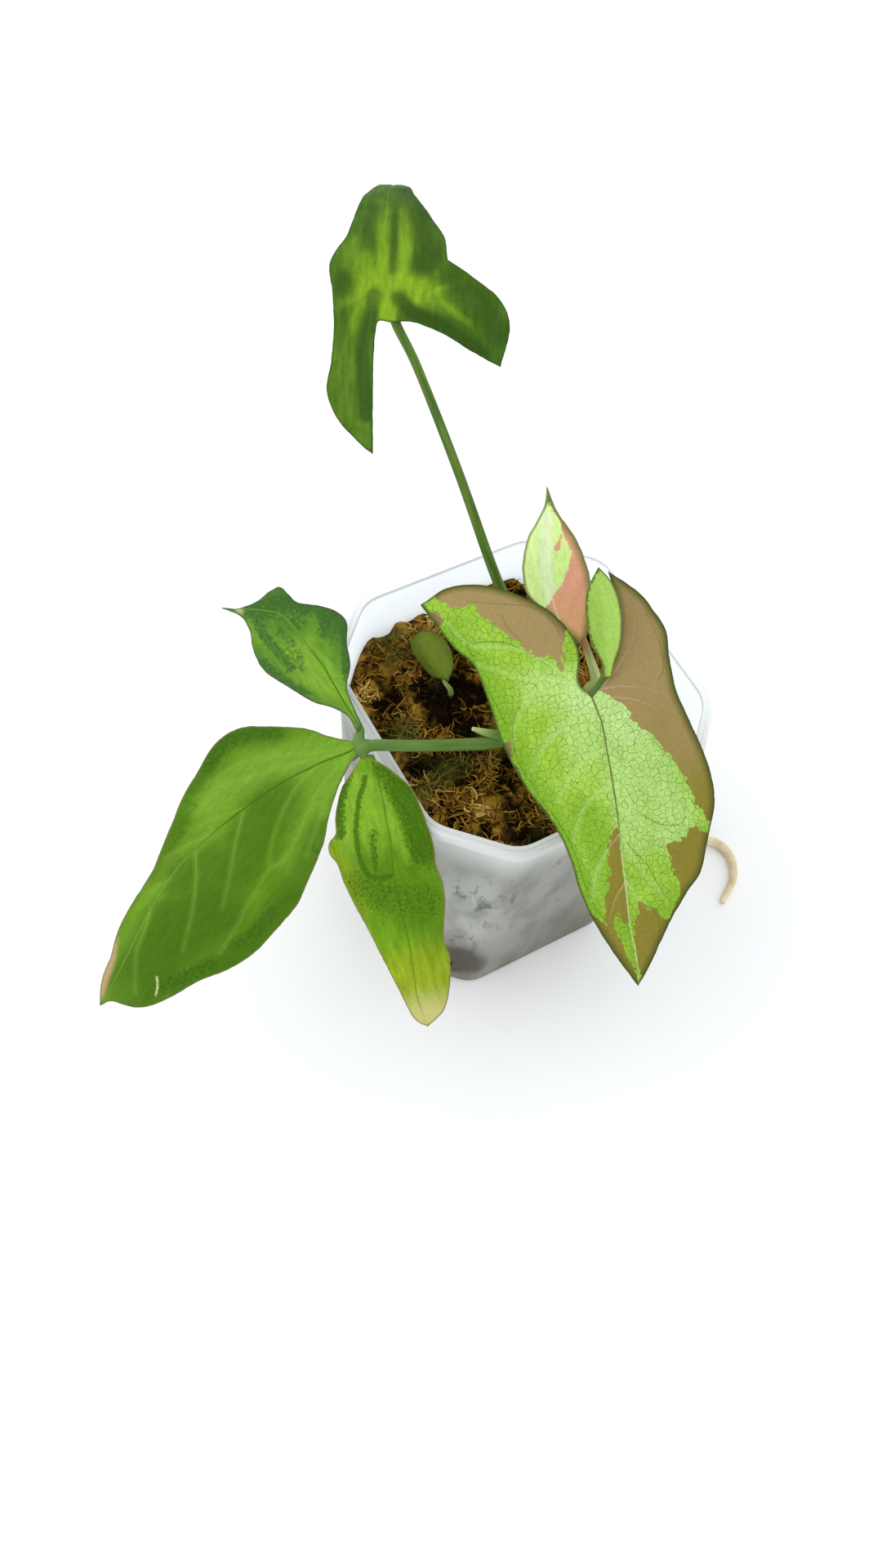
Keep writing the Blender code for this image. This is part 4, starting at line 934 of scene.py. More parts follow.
def leaf_material(name, base, second, net, vein, rib, margin, light=None, dark=None, brown=None,
                  yellow=None, tip=None, under=None, rib_end=None, scar=None, net_scale=62.0,
                  net_strength=0.5, vein_width=0.30, vein_strength=0.6, rib_strength=0.9,
                  jag=0.9, mottle_scale=34.0, mottle_fade=0.12, mottle_spread=0.3,
                  rim_width=0.55, tip_fade=0.9, gloss=0.55, streaks=0.22):
    """A blade's finish: the drawn marks of its mesh, painted sheen and shade among them, with net,
    mottling, grain and a painted highlight along the side veins added.
    """
    mat, n, shader = new_material(name)
    place = n.add("ShaderNodeUVMap", uv_map=LEAF_UV).outputs[0]
    net_out = n.group("vein_net", {"Vector": place, "Scale": net_scale, "Width": 0.060,
                                   "Wander": 0.012})
    grain = n.group("grain", {"Vector": place, "Scale": 260.0, "Broad": 7.0})
    colour = n.mix(n.ramp(grain["Tone"], 0.32, 0.68), base, second)
    if light:
        # The "light" strokes: paler tissue, with painted sheen and painted highlights where the
        # marks give them.
        spread = n.plus(n.attribute("light"), n.sway(grain["Tone"], 0.5), clamp=True)
        colour = n.mix(n.times(spread, 0.9), colour, light)
    if yellow:
        colour = n.mix(n.attribute("yellow"), colour, yellow)
    streak = n.noise(n.stretched(place, (0.22, 1.0, 1.0)), 75.0, 3.0, 0.6)
    colour = n.darkened(colour, n.times(
        n.span(net_out["Cell"], CELL_TONE, 1.0 - CELL_TONE * 0.5),
        n.span(streak, streaks * 2.0, 1.0 - streaks)))
    if dark:
        # The "shade" strokes: darker tissue, with painted shade of folds and creases where the
        # marks give them.
        shade = n.times(n.attribute("shade"), n.span(grain["Tone"], 0.6, 0.55), clamp=True)
        colour = n.mix(shade, colour, dark)
        spots = n.group("mottling", {"Vector": place, "Density": n.attribute("dark"),
                                     "Scale": mottle_scale, "Fade": mottle_fade,
                                     "Spread": mottle_spread})["Mask"]
        spots = n.times(spots, n.ramp(n.attribute("dark"), 0.0, 0.25))
        colour = n.mix(n.times(spots, 0.85), colour, dark)
    lines = n.times(net_out["Line"], net_strength)
    fine = n.times(net_out["Fine"], net_strength * 0.5)
    colour = n.mix(n.math("MAXIMUM", lines, fine), colour, net)
    side = n.ramp(n.attribute("vein"), vein_width, vein_width * 0.25)
    # Pale veins, with a painted highlight in a broad band along each side vein.
    painted_vein_highlight = n.times(n.ramp(n.attribute("vein"), 1.5, 0.1), 0.4)
    colour = n.mix(n.times(n.math("MAXIMUM", side, painted_vein_highlight), vein_strength), colour, vein)
    arc = n.ramp(n.attribute("arc"), 0.26, 0.05)
    colour = n.mix(n.times(arc, 0.5), colour, net)
    if brown:
        rust, olive_rust, pale, deep, warm_vein, warmth = brown
        depth = n.plus(n.attribute("patch"), n.sway(net_out["Cell"], jag))
        depth = n.plus(depth, n.sway(n.noise(place, 150.0, 3.0), 1.1))
        patch = n.ramp(depth, -0.07, 0.07)
        olive = n.ramp(n.plus(n.attribute("along"), n.sway(grain["Tone"], 0.5)), 0.0, 0.5)
        speck = n.times(n.ramp(grain["Speck"], 0.52, 0.72), 0.5)
        tissue = n.mix(speck, n.mix(olive, rust, olive_rust), pale)
        tissue = n.mix(n.times(net_out["Line"], 0.10), tissue, deep)
        tissue = n.mix(n.times(arc, 0.4), tissue, deep)
        tissue = n.mix(n.ramp(n.attribute("edge"), 2.6, 0.0), tissue, deep)
        tissue = n.mix(n.times(side, warmth), tissue, warm_vein)
        colour = n.mix(patch, colour, tissue)
    if tip:
        dry = n.ramp(n.plus(n.attribute("tip"), n.sway(grain["Tone"], 2.0)), -tip_fade, tip_fade)
        colour = n.mix(dry, colour, tip)
    along = n.attribute("along")
    middle = n.ramp(n.attribute("rib"), 0.95, 0.35)
    rib_colour = n.mix(n.ramp(along, 0.38, 0.62), rib, rib_end) if rib_end else rib
    middle = n.times(middle, n.ramp(along, 1.0, 0.9))
    colour = n.mix(n.times(middle, rib_strength), colour, rib_colour)
    rim = n.ramp(n.attribute("edge"), rim_width, rim_width * 0.2)
    colour = n.mix(n.times(rim, 0.85), colour, margin)
    if scar:
        colour = n.mix(n.ramp(n.attribute("nick"), 0.5, 0.15), colour, scar)
    if under:
        colour = n.mix(n.times(n.attribute("under"), 0.8), colour, under)
    relief = n.span(net_out["Line"], -0.8, n.times(grain["Speck"], 0.35))
    n.supply(shader, colour, (grain["Speck"], 0.16, gloss - 0.08), (relief, 0.55, 0.12),
             specular=0.08, ior=1.4)
    return mat


def stalk_material(name, green, pale, foot, end=None):
    """A petiole's or stem's finish: streaks along it, with another colour at its foot."""
    mat, n, shader = new_material(name)
    place = n.add("ShaderNodeUVMap", uv_map=LEAF_UV).outputs[0]
    grain = n.group("grain", {"Vector": n.stretched(place, (0.12, 1.0, 1.0)), "Scale": 180.0,
                              "Broad": 60.0})
    share = n.attribute("share")
    colour = n.mix(n.ramp(grain["Tone"], 0.35, 0.65), green, pale)
    colour = n.mix(n.ramp(share, 0.34, 0.0), colour, foot)
    if end:
        colour = n.mix(n.ramp(share, 0.72, 0.92), colour, end)
    n.supply(shader, colour, (grain["Speck"], 0.2, 0.4), (grain["Speck"], 0.3, 0.1),
             specular=0.4, ior=1.4)
    return mat


def moss_material(name, dark, middle, gold, green):
    """Sphagnum, from wet and dark to dry and golden by the tone drawn on the mesh; the tone also
    holds painted shade in the hollows and where strands lie low.
    """
    mat, n, shader = new_material(name)
    place = n.add("ShaderNodeTexCoord").outputs["Object"]
    grain = n.group("grain", {"Vector": place, "Scale": 1500.0, "Broad": 130.0})
    tone = n.plus(n.attribute("tone"), n.sway(grain["Tone"], 0.5))
    colour = n.mix(n.ramp(tone, 0.10, 0.52), dark, middle)
    colour = n.mix(n.ramp(tone, 0.55, 0.98), colour, gold)
    colour = n.mix(n.times(n.attribute("moss_green"), 0.8), colour, green)
    colour = n.darkened(colour, n.span(grain["Speck"], 1.1, 0.45))
    n.supply(shader, colour, (grain["Speck"], 0.15, 0.8), (grain["Speck"], 0.8, 0.5),
             specular=0.05)
    return mat


def pot_material():
    """Milky plastic with the wet moss showing through its wall as smudges, painted shade on its +X
    side, a painted glow inside above the moss, and painted light on the far side of its lip.
    """
    colours = bpy.context.scene.plant_colours
    mat, n, shader = new_material("milky_plastic_finish")
    place = n.add("ShaderNodeTexCoord").outputs["Object"]
    split = n.add("ShaderNodeSeparateXYZ", {0: place}).outputs
    height = n.math("DIVIDE", split["Z"], POT_HEIGHT * MM)
    flat = n.stretched(place, (1.0, 1.0, 0.5), turn=(0.25, 0.2, 0.0))
    smudge = n.noise(flat, 95.0, 3.0, 0.5, 0.15)
    broad = n.noise(flat, 34.0, 2.0, 0.5, 0.0)
    tint = n.noise(flat, 60.0, 2.0, 0.5)
    fleck = n.noise(flat, 230.0, 3.0, 0.55, 0.4)
    below_lip = n.ramp(height, 0.90, 0.72)

    wall = n.mix(n.ramp(broad, 0.30, 0.66), colours.plastic[:], colours.plastic_pale[:])
    through = n.times(n.ramp(smudge, 0.44, 0.66), below_lip)
    stain = n.mix(n.ramp(tint, 0.50, 0.70), (0.12, 0.125, 0.105), (0.15, 0.12, 0.08))
    wall = n.mix(n.times(through, 0.5), wall, stain)
    flecks = n.times(n.ramp(fleck, 0.56, 0.68), n.ramp(broad, 0.40, 0.52))
    wall = n.mix(n.times(flecks, n.times(below_lip, 0.7)), wall, (0.055, 0.065, 0.04))
    # Painted shade: the wall below the lip grows darker towards its +X side.
    shady = n.times(n.ramp(split["X"], -0.028, 0.012), below_lip)
    wall = n.mix(n.times(shady, 0.60), wall, (0.085, 0.08, 0.055))
    low = n.times(n.ramp(height, 0.50, 0.02), n.ramp(broad, 0.25, 0.5))
    wall = n.mix(n.times(low, 0.6), wall, (0.115, 0.10, 0.07))
    away = n.add("ShaderNodeVectorMath", {0: n.stretched(place, (1.0, 1.0, 0.5)), 1: DARK_SPOT_AT},
                 operation="DISTANCE").outputs["Value"]
    away = n.plus(away, n.sway(smudge, 0.014))
    wall = n.mix(n.times(n.ramp(away, 0.0100, 0.0050), 0.92), wall, (0.035, 0.020, 0.010))

    # Painted light: towards the far (+X +Y) side the lip, and the top of the wall below it, turn
    # near white.
    far = n.ramp(n.plus(split["X"], split["Y"]), -0.035, 0.03)
    lip = n.mix(far, colours.plastic_rim[:], (0.93, 0.95, 0.98))
    outside = n.mix(n.ramp(height, 0.80, 0.975), wall, lip)
    inside_wall = n.mix(n.ramp(smudge, 0.5, 0.8), colours.plastic_inside[:], (0.80, 0.86, 0.93))
    # Painted light: the inner face of the wall above the moss glows, as light through the plastic
    # would light it.
    inner = n.attribute("inner")
    n.feed(shader.inputs["Emission Color"], n.mix(inner, (0.0, 0.0, 0.0), (0.86, 0.91, 1.0)))
    shader.inputs["Emission Strength"].default_value = INNER_GLOW
    n.supply(shader, n.mix(inner, outside, inside_wall), (smudge, 0.2, 0.42),
             (n.noise(place, 1400.0, 2.0), 0.15, 0.1), specular=0.35, ior=1.49)
    return mat


def root_material():
    """Tan root with paler and darker places."""
    mat, n, shader = new_material("root_finish")
    place = n.add("ShaderNodeUVMap", uv_map=LEAF_UV).outputs[0]
    grain = n.group("grain", {"Vector": place, "Scale": 70.0, "Broad": 14.0})
    colour = n.mix(n.ramp(grain["Tone"], 0.35, 0.7), (0.80, 0.70, 0.46), (0.60, 0.46, 0.26))
    colour = n.mix(n.times(n.ramp(grain["Speck"], 0.5, 0.75), 0.5), colour, (0.86, 0.78, 0.58))
    n.supply(shader, colour, (grain["Speck"], 0.2, 0.65), (grain["Speck"], 0.7, 0.25))
    return mat


# ---------------------------------------------------------------- sizes and colours

def length_property(name, description, default, low, high):
    return bpy.props.FloatProperty(name=name, description=description, default=default * MM,
                                   min=low * MM, max=high * MM, unit="LENGTH",
                                   subtype="DISTANCE", precision=5)


def colour_property(name, description, default):
    return bpy.props.FloatVectorProperty(name=name, description=description, default=default,
                                         size=3, min=0.0, max=1.0, subtype="COLOR")


class PlantSizes(bpy.types.PropertyGroup):
    """Sizes that a user may change without leaving the solids' outline."""
    blade_thickness: length_property("Blade thickness", "Thickness of a blade", 0.45, 0.2, 0.7)
    vein_depth: length_property("Vein depth", "How deep the midrib sinks", 0.28, 0.0, 0.5)
    quilting: length_property("Quilting", "Swell of the blade between its veins", 0.3, 0.0, 0.8)
    strand_radius: length_property("Moss strand", "Radius of a moss strand", 0.34, 0.2, 0.8)
    strand_count: bpy.props.IntProperty(name="Moss strands", description="Number of strands",
                                        default=5600, min=0, max=5800)


class PlantColours(bpy.types.PropertyGroup):
    """Main colours of the blades, the moss and the pot."""
    lime: colour_property("Lime", "Front leaf's green", (0.265, 0.455, 0.040))
    # Pale lime is also the colour of the front leaf's painted sheen and highlights.
    lime_pale: colour_property("Pale lime", "Front leaf's paler green", (0.50, 0.70, 0.27))
    rust: colour_property("Brown", "Front leaf's brown patches", (0.305, 0.220, 0.088))
    leaf_green: colour_property("Leaf green", "Three-part leaf", (0.085, 0.19, 0.005))
    deep_green: colour_property("Deep green", "Tall leaf", (0.046, 0.118, 0.007))
    pale_leaf: colour_property("Pale leaf", "Young back leaf", (0.76, 0.95, 0.38))
    pink: colour_property("Salmon", "Young leaf's brown-pink side", (0.82, 0.43, 0.20))
    moss: colour_property("Moss", "Sphagnum", (0.34, 0.175, 0.020))
    moss_gold: colour_property("Gold moss", "Dry tips of the sphagnum", (0.72, 0.47, 0.13))
    plastic: colour_property("Plastic", "Pot's wall", (0.265, 0.27, 0.245))
    plastic_pale: colour_property("Pale plastic", "Pot's paler places", (0.40, 0.405, 0.375))
    plastic_rim: colour_property("Rim", "Pot's lip", (0.62, 0.63, 0.635))
    plastic_inside: colour_property("Inside", "Pot's wall above the moss", (0.88, 0.92, 0.97))


# ---------------------------------------------------------------- pot

POT_HEIGHT, POT_WALL = 108.0, 0.9
RIM_HALF, RIM_CORNER = 45.0, 27.0
BASE_HALF, BASE_CORNER = 37.3, 23.9
LIP_OVERHANG, LIP_DROP, CORNER_ROUND, FLOOR_ROUND = 2.0, 3.2, 4.0, 1.6
SLOT_WIDTH, SLOT_BOTTOM, SLOT_TOP, SLOT_REACH = 4.0, 2.4, 15.0, 8.0
GLOW_FROM, GLOW_TO = 60.0, 107.4        # where the wall's inner face is lit through


def inset_octagon(half, corner, distance):
    return half - distance, corner - 0.4142 * distance


def wall_size(z):
    """Outer half width and half side length of the pot's wall at a height."""
    share = z / POT_HEIGHT
    top_half, top_corner = inset_octagon(RIM_HALF, RIM_CORNER, LIP_OVERHANG)
    return (BASE_HALF + (top_half - BASE_HALF) * share,
            BASE_CORNER + (top_corner - BASE_CORNER) * share)


def wall_ring(z, inset):
    return inset_octagon(*wall_size(z), inset)


def rounded_ring(half, corner, radius, arc=5, side=4):
    """The square with cut and rounded corners, as a ring of flat points."""
    corners = np.array([(half, -corner), (half, corner), (corner, half), (-corner, half),
                        (-half, corner), (-half, -corner), (-corner, -half), (corner, -half)])
    arcs = []
    for i in range(8):
        here = corners[i]
        back, ahead = corners[i - 1] - here, corners[(i + 1) % 8] - here
        back, ahead = back / np.linalg.norm(back) * radius, ahead / np.linalg.norm(ahead) * radius
        arcs.append([here + back * (1.0 - u) ** 2 + ahead * u ** 2
                     for u in np.linspace(0.0, 1.0, arc)])
    ring = []
    for i in range(8):
        ring += arcs[i]
        start, end = arcs[i][-1], arcs[(i + 1) % 8][0]
        ring += [start + (end - start) * k / side for k in range(1, side)]
    return np.array(ring)


def pot_profile():
    """The pot's wall as (half, corner, z) rings: up the outside, over the lip, down inside."""
    rim = lambda inset: inset_octagon(RIM_HALF, RIM_CORNER, inset)
    top, under = POT_HEIGHT, POT_HEIGHT - POT_WALL
    edge = LIP_OVERHANG + POT_WALL
    rings = [(*wall_ring(0.0, 1.6), 0.0), (*wall_ring(0.0, 0.75), 0.2),
             (*wall_ring(0.0, 0.2), 0.75)]
    rings += [(*wall_ring(z, 0.0), z) for z in (FLOOR_ROUND, 2.4, 20.0, 45.0, 70.0, 95.0, 105.5)]
    rings += [(*wall_ring(106.6, -0.1), 106.6), (*rim(LIP_OVERHANG - 0.4), under),
              (*rim(POT_WALL + 0.3), under), (*rim(POT_WALL), under - 0.3),
              (*rim(POT_WALL), top - LIP_DROP + 0.15), (*rim(POT_WALL - 0.15), top - LIP_DROP),
              (*rim(0.2), top - LIP_DROP), (*rim(0.0), top - LIP_DROP + 0.2),
              (*rim(0.0), top - 0.55), (*rim(0.16), top - 0.16), (*rim(0.55), top),
              (*rim(1.25), top), (*rim(1.4), top - 0.22), (*rim(1.6), top - 0.22),
              (*rim(1.75), top), (*rim(edge - 0.4), top), (*rim(edge - 0.1), top - 0.12),
              (*rim(edge), top - 0.45)]
    rings += [(*wall_ring(z, POT_WALL), z) for z in (106.5, 105.5, 95.0, 70.0, 45.0, 20.0, 3.0)]
    rings += [(*wall_ring(1.6, POT_WALL + 0.3), 1.6), (*wall_ring(POT_WALL, 2.2), POT_WALL)]
    return rings


def fresh_start():
    """Nothing selected and in object mode, before a primitive is added."""
    if bpy.context.object and bpy.context.object.mode != "OBJECT":
        bpy.ops.object.mode_set(mode="OBJECT")
    bpy.ops.object.select_all(action="DESELECT")


def place_ring(mesh, before, after, z):
    """Move the selected ring of vertices from one outline to the next."""
    bm = bmesh.from_edit_mesh(mesh)
    for vert in bm.verts:
        if vert.select:
            here = np.array(vert.co.xy) / MM
            nearest = int(np.argmin(np.linalg.norm(before - here, axis=1)))
            vert.co = (*(after[nearest] * MM), z * MM)
    bmesh.update_edit_mesh(mesh)


def build_pot():
    fresh_start()
    rings = [(rounded_ring(half, corner, CORNER_ROUND), z) for half, corner, z in pot_profile()]
    first, floor_z = rings[0]
    bpy.ops.mesh.primitive_circle_add(vertices=len(first), radius=BASE_HALF * MM,
                                      fill_type="NGON")
    pot = bpy.context.object
    pot.name = pot.data.name = "pot_shell"
    for vert, point in zip(pot.data.vertices, first):
        vert.co = (*(point * MM), floor_z * MM)
    bpy.ops.object.mode_set(mode="EDIT")
    bpy.ops.mesh.select_all(action="SELECT")
    before = first
    for ring, z in rings[1:]:
        bpy.ops.mesh.extrude_region_move(TRANSFORM_OT_translate={"value": (0.0, 0.0, 0.0)})
        place_ring(pot.data, before, ring, z)
        before = ring
    bpy.ops.mesh.poke()
    bpy.ops.mesh.select_all(action="SELECT")
    bpy.ops.mesh.normals_make_consistent(inside=False)
    bpy.ops.object.mode_set(mode="OBJECT")
    for quarter in range(4):
        angle = radians(45.0 + 90.0 * quarter)
        reach = (BASE_HALF + BASE_CORNER) / np.sqrt(2.0)
        bpy.ops.object.select_all(action="DESELECT")
        bpy.ops.mesh.primitive_cube_add(
            size=MM, location=(reach * cos(angle) * MM, reach * sin(angle) * MM,
                               (SLOT_BOTTOM + SLOT_TOP) / 2.0 * MM), rotation=(0.0, 0.0, angle))
        cutter = bpy.context.object
        cutter.scale = (SLOT_REACH, SLOT_WIDTH, SLOT_TOP - SLOT_BOTTOM)
        cut = pot.modifiers.new("Drain slot", "BOOLEAN")
        cut.operation, cut.solver, cut.object = "DIFFERENCE", "EXACT", cutter
        bpy.context.view_layer.objects.active = pot
        bpy.ops.object.modifier_apply(modifier=cut.name)
        bpy.data.objects.remove(cutter, do_unlink=True)
    mesh = pot.data
    points = np.array([v.co for v in mesh.vertices]) / MM
    inner = np.zeros(len(points))
    for index, (x, y, z) in enumerate(np.abs(points)):
        half, corner = wall_size(z)
        inset = min(half - x, half - y, (half + corner - x - y) / np.sqrt(2.0))
        inner[index] = 1.0 if inset > 0.8 and GLOW_FROM < z < GLOW_TO else 0.0
    mesh.attributes.new("inner", "FLOAT", "POINT").data.foreach_set("value", inner)
    bpy.ops.object.select_all(action="DESELECT")
    pot.select_set(True)
    bpy.context.view_layer.objects.active = pot
    bpy.ops.object.shade_smooth_by_angle(angle=radians(40.0))
    mesh.materials.clear()
    mesh.materials.append(pot_material())
    settle(pot, "pot")


# ---------------------------------------------------------------- moss

MOSS_LEVEL, MOSS_SWELL, MOSS_TUFT, MOSS_SINK = 95.0, 2.6, 1.9, 3.5
MOSS_BOTTOM = 1.2
MOSS_RIM = 93.0                 # height at which the filling's outline is taken
BED_SPACING = 1.25
TUFT_COUNT, STRAND_ROWS, STRAND_SIDES = 430, 6, 3
STRAND_CEILING = 99.5           # strands above this are pressed down
# Lighter and darker places on the moss: (x, y), reach and how much lighter.
MOSS_SPOTS = [((-6, 35), 8.0, 0.40), ((-21, 33), 7.0, 0.15), ((-15, 10), 8.0, -0.45),
              ((-28, -6), 8.0, -0.40), ((-36, -13), 4.5, 0.40), ((-33, -18), 4.0, 0.15),
              ((-23, -24), 4.5, 0.55), ((-15, -32), 6.0, -0.35), ((-29, 14), 6.0, 0.35),
              ((22, -4), 7.0, 0.30)]


def moss_height(x, y):
    """The moss surface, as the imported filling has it."""
    broad = noise.noise(Vector((x / 17.0, y / 17.0, 3.1)))
    tuft = noise.noise(Vector((x / 6.2, y / 6.2, 8.4)))
    left = max(0.0, min(1.0, (-x - 18.0) / 22.0))
    edge = max(abs(x), abs(y), (abs(x) + abs(y)) / 1.5) / 41.0
    rim_drop = 1.6 * max(0.0, edge - 0.75) / 0.25
    return (MOSS_LEVEL + MOSS_SWELL * broad + MOSS_TUFT * tuft - MOSS_SINK * left * left
            - rim_drop)


def moss_spots(points):
    """How much lighter the moss is at each point."""
    total = np.zeros(len(points))
    for spot, reach, amount in MOSS_SPOTS:
        gap = np.linalg.norm(points - np.array(spot, float), axis=1)
        total += amount * np.exp(-(gap / reach) ** 2)
    return total


def moss_ring(z, inset):
    return rounded_ring(*wall_ring(z, POT_WALL + inset), CORNER_ROUND, arc=5, side=24)


def greenness(points):
    """Where living moss shows green: a few places near the wall at the -X side."""
    patch = np.clip(fractal(points, 13.0, 31.0, 2) * 2.6 - 0.25, 0.0, 1.0)
    return patch * np.clip((6.0 - points[:, 0]) / 26.0, 0.15, 1.0)


def build_moss_bed(material):
    """The filling itself: heaps, tufts and hollows with painted shade in them on top, the pot's
    taper below.
    """
    ring = moss_ring(MOSS_RIM, 0.4)
    low = moss_ring(MOSS_BOTTOM, 1.2)
    flat, faces = filled_outline(ring, BED_SPACING)
    height = np.array([moss_height(x, y) for x, y in flat])
    lumps = fractal(flat, 4.6, 2.0, 3)
    fuzz = fractal(flat, 1.7, 5.0, 3)
    pits = np.clip(-fractal(flat, 8.0, 12.0, 2) * 2.2 - 0.25, 0.0, 1.0)
    height = height + 1.2 * lumps + 0.6 * fuzz - 3.4 * pits - 1.0
    top = np.column_stack([flat, height])
    if np.mean(np.cross(top[faces[:, 1]] - top[faces[:, 0]],
                        top[faces[:, 2]] - top[faces[:, 0]])[:, 2]) < 0.0:
        faces = faces[:, ::-1]
    rim = boundary_loop(faces)
    base = len(top)
    order = {a: i for i, (a, b) in enumerate(rim)}
    edge = np.array([flat[a] for a, _ in rim])
    nearest = [int(np.argmin(np.linalg.norm(ring - p, axis=1))) for p in edge]
    under = np.column_stack([low[nearest], np.full(len(edge), MOSS_BOTTOM)])
    points = np.concatenate([top, under, [(0.0, 0.0, MOSS_BOTTOM)]])
    centre = len(points) - 1
    all_faces = [tuple(f) for f in faces]
    for a, b in rim:
        la, lb = base + order[a], base + order[b]
        all_faces += [(b, a, la, lb), (lb, la, centre)]
    # The tone: lighter on lumps and fuzz, with painted shade in the pits and on the low ground, and
    # the lighter and darker places of MOSS_SPOTS.
    tone = np.clip(0.26 + 0.25 * lumps + 0.28 * fuzz - 0.5 * pits + 0.6 * moss_spots(flat),
                   0.0, 1.0)
    tone = np.concatenate([tone, np.full(len(under) + 1, 0.2)])
    green = np.concatenate([greenness(flat) * 0.7, np.zeros(len(under) + 1)])
    new_piece("moss_bed", points, all_faces, "moss", material,
              marks={"tone": tone, "moss_green": green})


def moss_strand(start, heading, climb, length, thick, rng):
    """One bent strand's line and its radii: it rises from start and droops at its end."""
    rows = STRAND_ROWS
    line = [np.array((*start, 0.0))]
    bend = rng.normal(0.0, 0.30)
    for step in range(rows - 1):
        heading += bend + rng.normal(0.0, 0.25)
        tilt = climb * (1.0 - 1.6 * step / rows)
        line.append(line[-1] + length / (rows - 1) * np.array(
            (cos(heading) * cos(tilt), sin(heading) * cos(tilt), sin(tilt))))
    u = np.linspace(0.0, 1.0, rows)
    knob = np.where(np.arange(rows) % 2 == 0, 0.75, 1.2)
    return np.array(line), thick * knob * np.sqrt(np.clip(1.03 - u, 0.0, 1.0))


def build_moss_strands(material):
    """Tufts of short bent sphagnum strands, with a few long ones lying over them."""
    sizes = bpy.context.scene.plant_sizes
    rng = np.random.default_rng(11)
    ring = moss_ring(MOSS_RIM, 1.0)
    reach = ring.max()
    sides, rows = STRAND_SIDES, STRAND_ROWS
    around = np.linspace(0.0, 2.0 * pi, sides, endpoint=False)
    points, faces, tones, greens = [], [], [], []
    tufts = rng.uniform(-reach, reach, (TUFT_COUNT, 2))
    tuft_tone = rng.uniform(0.0, 1.0, len(tufts))
    for index in range(sizes.strand_count):
        loose = index % 12 == 0
        tuft = int(rng.integers(len(tufts)))
        away = rng.normal(0.0, 1.0, 2) * (5.0 if loose else 1.25)
        start = tufts[tuft] + away
        heading = rng.uniform(0.0, 2.0 * pi) if loose else np.arctan2(*away[::-1]) + rng.normal(
            0.0, 0.5)
        climb = rng.uniform(-0.1, 0.5) if loose else rng.uniform(0.1, 1.15)
        length = rng.uniform(5.0, 10.0) if loose else rng.uniform(1.8, 5.0)
        thick = sizes.strand_radius / MM * rng.uniform(0.6, 1.35)
        line, size = moss_strand(start, heading, climb, length, thick, rng)
        sink, tone = rng.uniform(-1.3, 0.2), rng.uniform(0.0, 1.0)
        if not inside(line[:, :2], ring).all():
            continue
        pit = max(0.0, noise.noise(Vector((start[0] / 8.0, start[1] / 8.0, 41.0))) * 1.8)
        line[:, 2] += moss_height(*start) + sink - 2.8 * pit
        line[:, 2] -= np.clip(line[:, 2] - STRAND_CEILING, 0.0, None) * 0.8
        way = np.gradient(line, axis=0)
        way /= np.linalg.norm(way, axis=1)[:, None]
        side = np.cross(way, (0.0, 0.31, 0.95))
        side /= np.linalg.norm(side, axis=1)[:, None]
        up = np.cross(side, way)
        base = len(points) * rows * sides
        turn = around + rng.uniform(0.0, 2.0)
        shape = (line[:, None] + size[:, None, None] * (
            np.cos(turn)[None, :, None] * side[:, None]
            + np.sin(turn)[None, :, None] * up[:, None]))
        points.append(shape.reshape(-1, 3))
        for row in range(rows - 1):
            for k in range(sides):
                a, b = base + row * sides, base + (row + 1) * sides
                m = (k + 1) % sides
                faces.append((a + m, a + k, b + k, b + m))
        faces.append(tuple(base + k for k in range(sides)))
        faces.append(tuple(base + (rows - 1) * sides + k for k in reversed(range(sides))))
        u = np.linspace(0.0, 1.0, rows)
        clump = noise.noise(Vector((start[0] / 10.0, start[1] / 10.0, 23.0)))
        # The strand's tone from its tuft, itself, its clump and its place, lighter towards its tip;
        # painted shade makes it darker where it sits low or in a pit.
        light = np.clip(0.36 * tuft_tone[tuft] ** 1.4 + 0.20 * tone + 0.14 * u + 0.15 * sink
                        + 0.8 * clump - 0.45 * pit + 0.12 + 0.8 * moss_spots(start[None])[0],
                        0.0, 1.0)
        tones.append(np.repeat(light, sides))
        greens.append(np.repeat(greenness(line[:, :2]), sides))
    new_piece("moss_strands", np.concatenate(points), faces, "moss", material,
              marks={"tone": np.concatenate(tones), "moss_green": np.concatenate(greens)})


# ---------------------------------------------------------------- operators

class PieceOperator(bpy.types.Operator):
    """What the operators of this plant have in common."""
    bl_options = {"REGISTER", "UNDO"}


class PLANT_OT_pot(PieceOperator):
    """Model the milky square pot with its cut corners, lip and drain slots"""
    bl_idname = "plant.pot"
    bl_label = "Pot"

    def execute(self, context):
        build_pot()
        return {"FINISHED"}


class PLANT_OT_moss(PieceOperator):
    """Model the sphagnum filling and the strands that lie on it"""
    bl_idname = "plant.moss"
    bl_label = "Moss"

    def execute(self, context):
        colours = context.scene.plant_colours
        material = moss_material("moss_finish", (0.012, 0.006, 0.001), colours.moss[:],
                                 colours.moss_gold[:], (0.13, 0.125, 0.02))
        build_moss_bed(material)
        build_moss_strands(material)
        return {"FINISHED"}


def stalk_piece(name, parts, node, material):
    points, faces, uv, share = bundle(parts)
    return new_piece(name, points, faces, node, material, uv=uv, marks={"share": share})


class PLANT_OT_stem(PieceOperator):
    """Model the short ringed stem in the moss"""
    bl_idname = "plant.stem"
    bl_label = "Stem"

    def execute(self, context):
        path = [(*STEM_AT, z, r) for z, r in STEM_PROFILE]
        stalk_piece("stem_knot", [swept(path, sides=24, step=0.5)], "stem",
                    stalk_material("stem_finish", (0.44, 0.50, 0.20), (0.56, 0.58, 0.30),
                                   (0.36, 0.26, 0.12), end=(0.20, 0.10, 0.035)))
        return {"FINISHED"}


